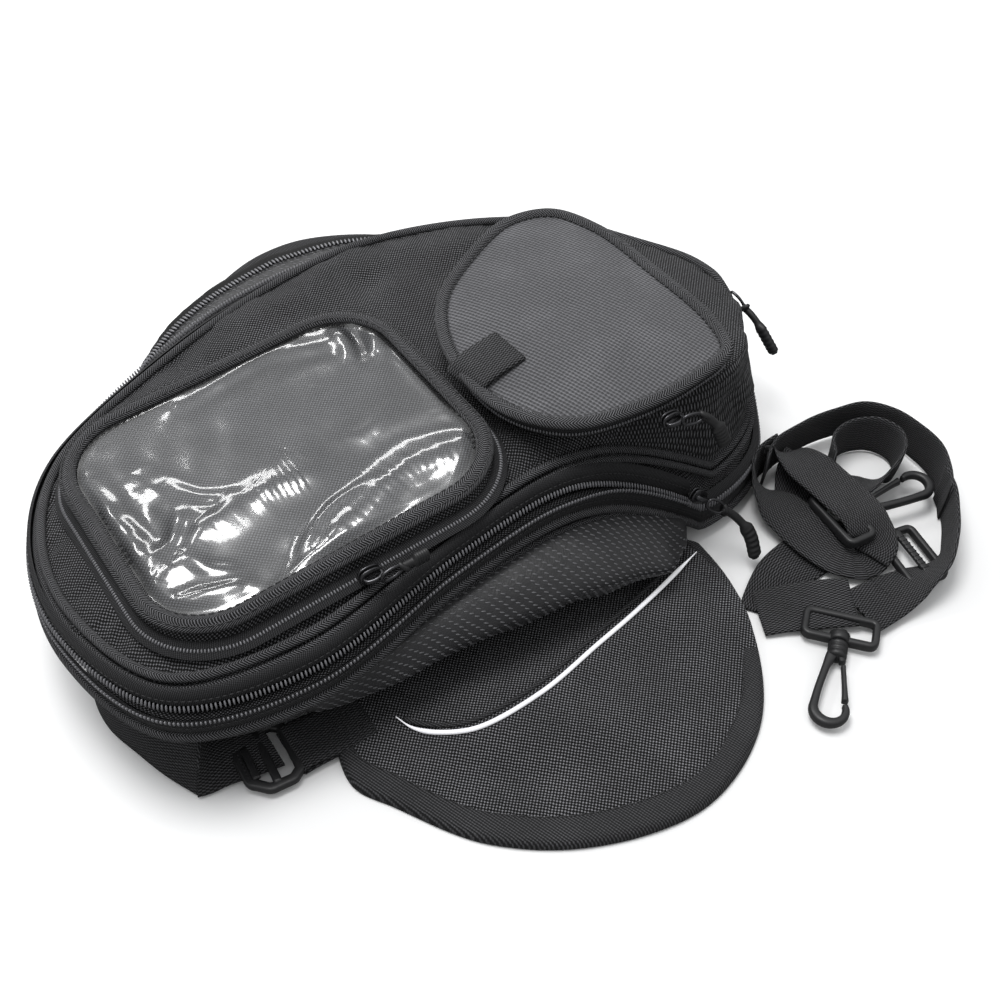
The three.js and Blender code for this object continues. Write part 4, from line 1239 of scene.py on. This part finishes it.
def rear_strap():
    band = Build()
    edged_band(band, [(-192, -14, 2), (-199, -32, 1), (-200, -50, 1), (-195, -69, 1), (-190, -85, 1),
                      (-183, -101, 1)],
               [(-190, -10, 27), (-196, -30, 27), (-195, -44, 26), (-189, -60, 26), (-181, -74, 25),
                (-173, -89, 22)], seed=7)
    edged_band(band, [(-184, -101.5, 1.4), (-178, -103, 1), (-170, -104.5, 2), (-162, -107, 3.4),
                      (-148, -110, 4.2)],
               [(-173.5, -89.5, 22.5), (-171, -84, 17), (-167, -82, 10), (-160, -84, 6.4), (-148, -88, 5.0)],
                seed=8)
    band.make("rear_strap_band", BELT, "tub", "webbing", ["rear_strap"])
    tab = Build()
    ribbon(tab, [(-143.5, -106.2, 3.4, 0), (-141.5, -106.2, 6.2, 0), (-136, -106.4, 6.6, 0),
                 (-126, -107, 5.4, 0), (-108, -107.6, 4.6, 0)],
                 width=24, thick=1.6, wave=0.2, seed=8)
    ribbon(tab, [(-142.5, -106.2, 2.6, 0), (-136, -106.4, 3.2, 0), (-120, -107, 3.0, 0)], width=24,
           thick=1.4, wave=0.1, seed=9)
    tab.make("rear_sewn_tab", BELT, "tub", "webbing", ["rear_anchor_tab"])
    seam = Build()
    for x0, x1, y0, y1 in ((-133, -110, -97, -97), (-133, -110, -117, -117), (-133, -110, -97, -117),
                           (-133, -110, -117, -97)):
        line = resample(np.array([(x0, y0, 6.9), (x1, y1, 5.6)]), 12)
        stitches(seam, line, upward(line), pitch=2.8, long=2.0)
    seam.make("rear_tab_stitches", THREAD, "tub", "webbing")


def buckle():
    where = local_frame((-140.5, -104.5, 2.4), (math.cos(0.1), -math.sin(0.1), 0), (0, 0, 1))
    build = Build()
    frame_path = [(-1.8, 11.0), (-1.8, -11.0), (-6, -14.2), (-16, -14.2), (-22.8, -8), (-23.4, 5),
                  (-20, 12.8), (-6, 14.2)]
    fine = []
    for k, (x, y) in enumerate(frame_path):
        nx, ny = frame_path[(k + 1) % len(frame_path)]
        for q in (0.08, 0.3, 0.5, 0.7, 0.92):
            fine.append((x + (nx - x) * q, y + (ny - y) * q, 2.1))
    fine = resample(catmull(fine, closed=True, samples=8), 150, closed=True)
    sweep(build, placed(fine, where), rounded_box(4.2, 3.8, 1.1), closed=True)
    bar(build, where, [(-12.5, 13.6, 2.6), (-12.5, -13.6, 2.6)], 20, 3.6, 3.0, 0.9)
    bar(build, where, [(-19.6, 8, 3.4), (-19.6, -8, 3.4)], 16, 3.2, 1.6, 0.6)
    for k in range(7):
        y = 6 - 2 * k
        bar(build, where, [(-24.6, y, 2.2), (-22.4, y, 4.0)], 6, 0.8, 0.8, 0.3)
    build.make("rear_buckle_frame", PLASTIC, "rear_buckle", "hardware_plastic", ["rear_buckle"])


# Parts of the bundled strap: how much each waves, and its (x, y, z, roll) path.
BUNDLE = [
    (0.5, [(104.5, -183, 6.0, -8), (95, -177.5, 6.2, -10), (86, -172, 5.2, -8), (76, -166, 3.6, -4),
          (67, -161.5, 2.0, 0)]),
    (0.3, [(70, -163.5, 1.2, 0), (80, -157, 1.3, 2), (92, -151, 1.6, 4), (106, -149, 2.2, 6),
          (122, -150, 3.0, 5), (134, -156, 3.8, 4)]),
    (0.6, [(136, -160, 3.4, 0), (128, -165, 3.6, 0), (121, -160, 5.4, -4), (117, -149, 7.0, -6),
          (115.5, -134, 8.0, -4), (115, -120, 8.8, 10), (114, -109, 11.0, 50), (116, -101, 13, 82),
          (124, -97, 13.4, 90), (134, -96, 13.6, 90)]),
    (0.5, [(130, -165, 5.6, 0), (136, -163, 8.6, 4), (138.5, -154, 15.6, 4), (138.5, -142, 17.2, 2),
          (138.5, -128, 17.4, 2), (138, -116, 17.6, 2), (136, -106, 17.4, 20), (132, -99, 15.6, 62),
          (126, -98, 14, 84)]),
    (0.6, [(122, -103, 13.6, 92), (132, -97.5, 13.8, 94), (150, -96, 14.0, 97), (170, -98, 14.4, 99),
          (186, -104, 14.6, 98), (195, -117, 14.4, 95), (197, -131, 13.8, 92), (195.5, -146, 13.4, 90),
          (188, -158, 13.2, 88), (179, -168, 13.0, 88)]),
    (0.4, [(187, -157, 12.8, 90), (180, -169, 12.8, 88), (170, -179, 12.6, 86), (160, -187, 12.2, 80),
          (148, -191, 9.6, 52), (134, -190, 6.0, 22), (120, -189, 4.2, 4), (104, -188.6, 5.2, -4)]),
    (0.5, [(150, -121, 12.8, 88), (157, -112, 13, 90), (170, -109, 13.2, 92), (183, -115, 13.4, 92),
          (187, -126, 13.2, 90), (182, -135, 12.8, 86), (173, -138.5, 12.0, 76), (163, -136.5, 9.0, 44),
          (154, -132, 5.6, 14), (145, -128, 4.2, 2)]),
    (0.4, [(120, -134, 4.2, 0), (128, -124, 4.4, 0), (138, -113, 5.2, 6), (147, -104, 8.0, 40)]),
]


def shoulder_strap():
    """The loose strap: one long band folded over itself, with a small loop at each end."""
    bundle = Build()
    for number, (wave, path) in enumerate(BUNDLE):
        ribbon(bundle, path, wave=wave, seed=41 + number)
    bundle.make("shoulder_strap_band", BELT, "strap", "webbing", ["shoulder_strap"])
    hems = Build()
    for start, end in (((74, -172, 4.9), (84, -160, 5.4)), ((122, -178, 5.3), (122, -199, 5.3))):
        line = resample(np.array([start, end], float), 10)
        stitches(hems, line, upward(line), pitch=2.6, long=1.9)
    hems.make("shoulder_strap_stitches", THREAD, "strap", "webbing")


def lathe(build, where, profile, count=20):
    """Turns (x, radius) pairs about the local x axis."""
    a = np.arange(count) * TURN / count
    rows = [placed(np.column_stack([np.full(count, x), r * np.cos(a), r * np.sin(a)]), where)
            for x, r in profile]
    return build.grid(np.array(rows), wrap=True, caps=(True, True))


def swivel_hook(number, at, turn):
    where = local_frame(at, (math.cos(turn), math.sin(turn), 0), (0, 0, 1))
    loop = Build()
    path = rounded_box(13.4, 31.4, 2.6, 6)
    path = np.column_stack([resample(path, 90, closed=True), np.zeros(90)])
    sweep(loop, placed(path, where), rounded_box(3.2, 5.0, 1.2), closed=True)
    lathe(loop, where, [(3.6, 4.2), (4.0, 4.8), (7.6, 4.8), (8.0, 4.4), (8.2, 3.0)])
    loop.make(f"strap_loop_frame_{number}", PLASTIC, "strap", "hardware_plastic", [f"strap_loop_{number}"])

    hook = Build()
    lathe(hook, where, [(2.0, 3.0), (2.3, 3.5), (3.0, 3.5), (3.2, 2.2), (8.6, 2.2), (8.8, 3.9), (9.4, 4.4),
                        (10.6, 4.4), (10.9, 3.7), (11.6, 3.7), (11.9, 4.4), (13.2, 4.4), (13.5, 3.7),
                        (14.2, 3.7), (14.6, 4.3), (16.2, 4.3), (17.0, 3.2)])
    tip, radius = 44.2, 6.9
    arc = [(tip + radius * math.cos(a), radius * math.sin(a), 0)
           for a in np.radians(np.arange(-100, 118, 12))]
    path = [(15.5, -2.0, 0), (20, -3.4, 0), (28, -4.9, 0), (36, -6.1, 0)] + arc
    fine = resample(catmull(path, samples=12), 150)
    t = np.linspace(0, 1, 150)
    girth = 1.0 + 0.55 * np.exp(-((t / 0.08) ** 2)) + 0.35 * np.exp(-(((t - 0.66) / 0.14) ** 2))
    girth -= 0.25 * smooth((t - 0.94) / 0.06)
    sweep(hook, placed(fine, where), rounded_box(3.3, 4.3, 1.3),
          scale=np.column_stack([girth, 0.75 + 0.25 * girth]))
    root = resample(catmull([(15.5, 1.6, 0), (17.2, 2.3, 0), (18.6, 2.8, 0)], samples=8), 20)
    sweep(hook, placed(root, where), rounded_box(3.0, 4.0, 1.1))
    hook.make(f"snap_hook_body_{number}", PLASTIC, f"snap_hook_{number}", "hardware_plastic",
              [f"snap_hook_{number}"])

    gate = Build()
    tongue = resample(catmull([(20.6, 3.4, 0), (27, 4.4, 0), (34, 5.4, 0), (38.6, 6.0, 0)], samples=10), 60)
    s = np.linspace(0, 1, 60)
    sweep(gate, placed(tongue, where), rounded_box(1.9, 3.2, 0.7),
          scale=np.column_stack([1 + 0.5 * s ** 4, 1 + 0.2 * s]))
    gate.make(f"hook_gate_bar_{number}", PLASTIC, f"hook_gate_{number}", "hardware_plastic",
              [f"hook_gate_{number}"])


def bar(build, where, ends, count, *box):
    """A straight rounded bar between two places of a local frame."""
    return sweep(build, placed(resample(np.array(ends, float), count), where), rounded_box(*box))


def triglide():
    turn = math.atan2(9, -40)
    where = local_frame((148, -178, 4), (math.cos(turn), math.sin(turn), 0), (0, 0, 1))
    build = Build()
    path = np.column_stack([resample(rounded_box(18, 30.5, 2.4, 6), 100, closed=True), np.zeros(100)])
    sweep(build, placed(path, where), rounded_box(3.0, 4.4, 1.1), closed=True)
    bar(build, where, [(0, 15, 2.4), (0, -15, 2.4)], 24, 3.6, 2.2, 0.8)
    for k in range(9):
        y = 10 - 2.5 * k
        bar(build, where, [(-1.6, y, 3.5), (1.6, y, 3.5)], 5, 0.7, 0.6, 0.25)
    build.make("triglide_frame", PLASTIC, "triglide", "hardware_plastic", ["triglide"])


# The whole bag ----

base_pad()
tub_shell()
tub_trim()
front_zip()
pod("near_pod_vinyl", (-136, -108), (70, -105), 38,
    lambda t: np.minimum(t / 0.7, 1) ** 0.8 * np.minimum((1 - t) * 9, 1) ** 0.5,
    (0.10, 0.76), 0.9, "near_pod", 51)
far_pod_zip(*pod("far_pod_vinyl", (85, 66), (-122, 84), 42, lambda t: np.sin(np.pi * t) ** 0.6,
                 (0.14, 0.92), -0.2, "far_pod", 52))
lid_shell()
lid_trim()
map_pocket()
top_pocket()
flap("near", -1, NEAR_FLAP, -133, [(-104, -88), (-90, -83), (-60, -80), (0, -80), (40, -82), (56, -88),
                                   (59, -102)],
     [(((-80, -140), (-20, -140), (40, -128)), 2.6, 12), (((64, -126), (62, -150), (48, -176)), 3.2, 7),
      (((54, -126), (40, -150), (22, -172)), 2.8, 8), (((70, -128), (72, -138), (66, -152)), -1.2, 5),
      (((-60, -150), (-30, -170), (10, -176)), 2.4, 14), (((-96, -142), (-80, -164), (-50, -186)), -1.2, 10)],
     [(-99, -118, 7.5), (-96, -126, 6.4), (-88, -134.4, 5.8), (-73, -142.7, 6.0), (-43, -144.1, 6.4),
      (-5, -136.8, 7.0), (18, -132.4, 8.2), (35, -128.9, 9.0), (63, -121.8, 9.4)],
      61)
flap("far", 1, FAR_FLAP, 128, [(-74, 82), (-56, 80), (-20, 84), (20, 86), (60, 78), (84, 74), (92, 96)],
     [(((-40, 134), (10, 138), (60, 134)), 2.4, 12), (((-50, 150), (0, 170), (50, 160)), 1.4, 16)],
     [(-62, 133, 5.4), (-50, 138, 6.0), (-30, 142, 6.2), (0, 143, 6.4), (30, 142, 6.2), (50, 138, 6.0),
      (62, 133, 5.4)], 62)

slider("near_main", local_frame((67, -112, 38), (0.74, -0.1, -0.66), (0, -1, 0.1)),
       [(4, 0, 6.6), (17, 0, 11.5), (28, -4, 17), (37, -13, 22)], np.asarray)
slider("far_main", local_frame((149.2, -28, 57.5), (0.05, -1, 0), (1, 0.05, 0.1)),
       [(4, 0, 6.6), (18, 6, 8), (34, 20, 8.5)], np.asarray)
slider("map", local_frame((-95, -99.4, 5.5), (1, 0, 0), (0, -1, 0)),
       [(4, 0, 6.6), (12, 0, 6.4), (24, -1, 6.2)], deck)
slider("top", local_frame((46, -109.6, 9.6), (1, 0, 0), (0, -1, 0.1)),
       [(4, 0, 6.6), (12, -1, 8.4), (17, -8, 11), (20, -19, 13)], deck)
rear_strap()
buckle()
shoulder_strap()
swivel_hook(1, (90, -190, 4.8), math.atan2(-33, -40))
swivel_hook(2, (132, -146, 12), math.atan2(-6, 50))
triglide()

# The pieces that stay as solids: the stiffening board and the magnets sewn into the flaps.
for name, cad in frame["nodes"].items():
    if not cad.hide_render:
        cad.data.materials.clear()
        cad.data.materials.append(MAGNET if "magnet" in name else BOARD)


# Stage ----

CAMERA_PLACE = (-0.2340, -0.3918, 0.4797)
CAMERA_AIM = (0.379, 0.551, -0.743)
CAMERA_LENS = 47.16
FLOOR_REACH = 6


def studio():
    floor_shader = Shader("floor")
    tone = floor_shader.ramp(floor_shader.noise(0.01, 2.0), 0.3, 0.7, 0.93, 0.95)
    seen = floor_shader.node("LightPath").outputs["Is Camera Ray"]
    tone = floor_shader.times(tone, floor_shader.math("MULTIPLY_ADD", seen, 0.7, 0.3))
    colour = floor_shader.node("CombineColor", {0: tone, 1: tone, 2: tone}).outputs[0]
    pale = floor_shader.finish(**{"Base Color": colour, "Roughness": 0.9, "Specular IOR Level": 0.1})
    corners = [(x * FLOOR_REACH, y * FLOOR_REACH, -0.0004) for x, y in ((-1, -1), (1, -1), (1, 1), (-1, 1))]
    mesh = bpy.data.meshes.new("floor")
    mesh.from_pydata(corners, [], [(0, 1, 2, 3)])
    mesh.materials.append(pale)
    put("floor", mesh)

    # A white tent: bright overhead, dim towards the horizon, plain white to the camera.
    world = bpy.data.worlds.new("studio")
    bpy.context.scene.world = world
    tent = Shader("studio", world)
    direction = tent.node("TexCoord").outputs["Generated"]
    height = tent.node("SeparateXYZ", {0: direction}).outputs[2]
    seen = tent.node("LightPath").outputs["Is Camera Ray"]
    tone = tent.ramp(height, 0.0, 1.0, 0.12, 0.85)
    strength = tent.node("Mix", {0: seen, 2: tone, 3: 1.05}).outputs[0]
    back = tent.node("Background", {"Color": (0.98, 0.99, 1.0, 1), "Strength": strength}).outputs[0]
    tent.node("OutputWorld", {"Surface": back})

    for name, spot, target, size, power in (
            ("overhead", (-0.12, 0.05, 1.15), (-0.05, -0.03, 0.05), (0.55, 0.42), 8.5),
            ("far_strip", (0.35, 1.25, 0.75), (-0.05, 0, 0.05), (1.1, 0.16), 3.8),
            ("upper_strip", (-0.45, 0.85, 1.15), (-0.05, 0, 0.05), (0.6, 0.16), 3.2)):
        light = bpy.data.lights.new(name, "AREA")
        light.shape = "RECTANGLE"
        light.size, light.size_y = size
        light.energy = power
        lamp = put(name, light)
        lamp.location = spot
        lamp.rotation_euler = (Vector(target) - Vector(spot)).to_track_quat("-Z", "Y").to_euler()

    camera_data = bpy.data.cameras.new("camera")
    camera_data.lens = CAMERA_LENS
    camera = put("camera", camera_data)
    camera.location = CAMERA_PLACE
    camera.rotation_euler = Vector(CAMERA_AIM).to_track_quat("-Z", "Y").to_euler()
    camera_data.clip_start, camera_data.clip_end = 0.01, 30
    scene = bpy.context.scene
    scene.camera = camera
    scene.view_settings.view_transform = "Standard"
    scene.view_settings.look = "None"


studio()
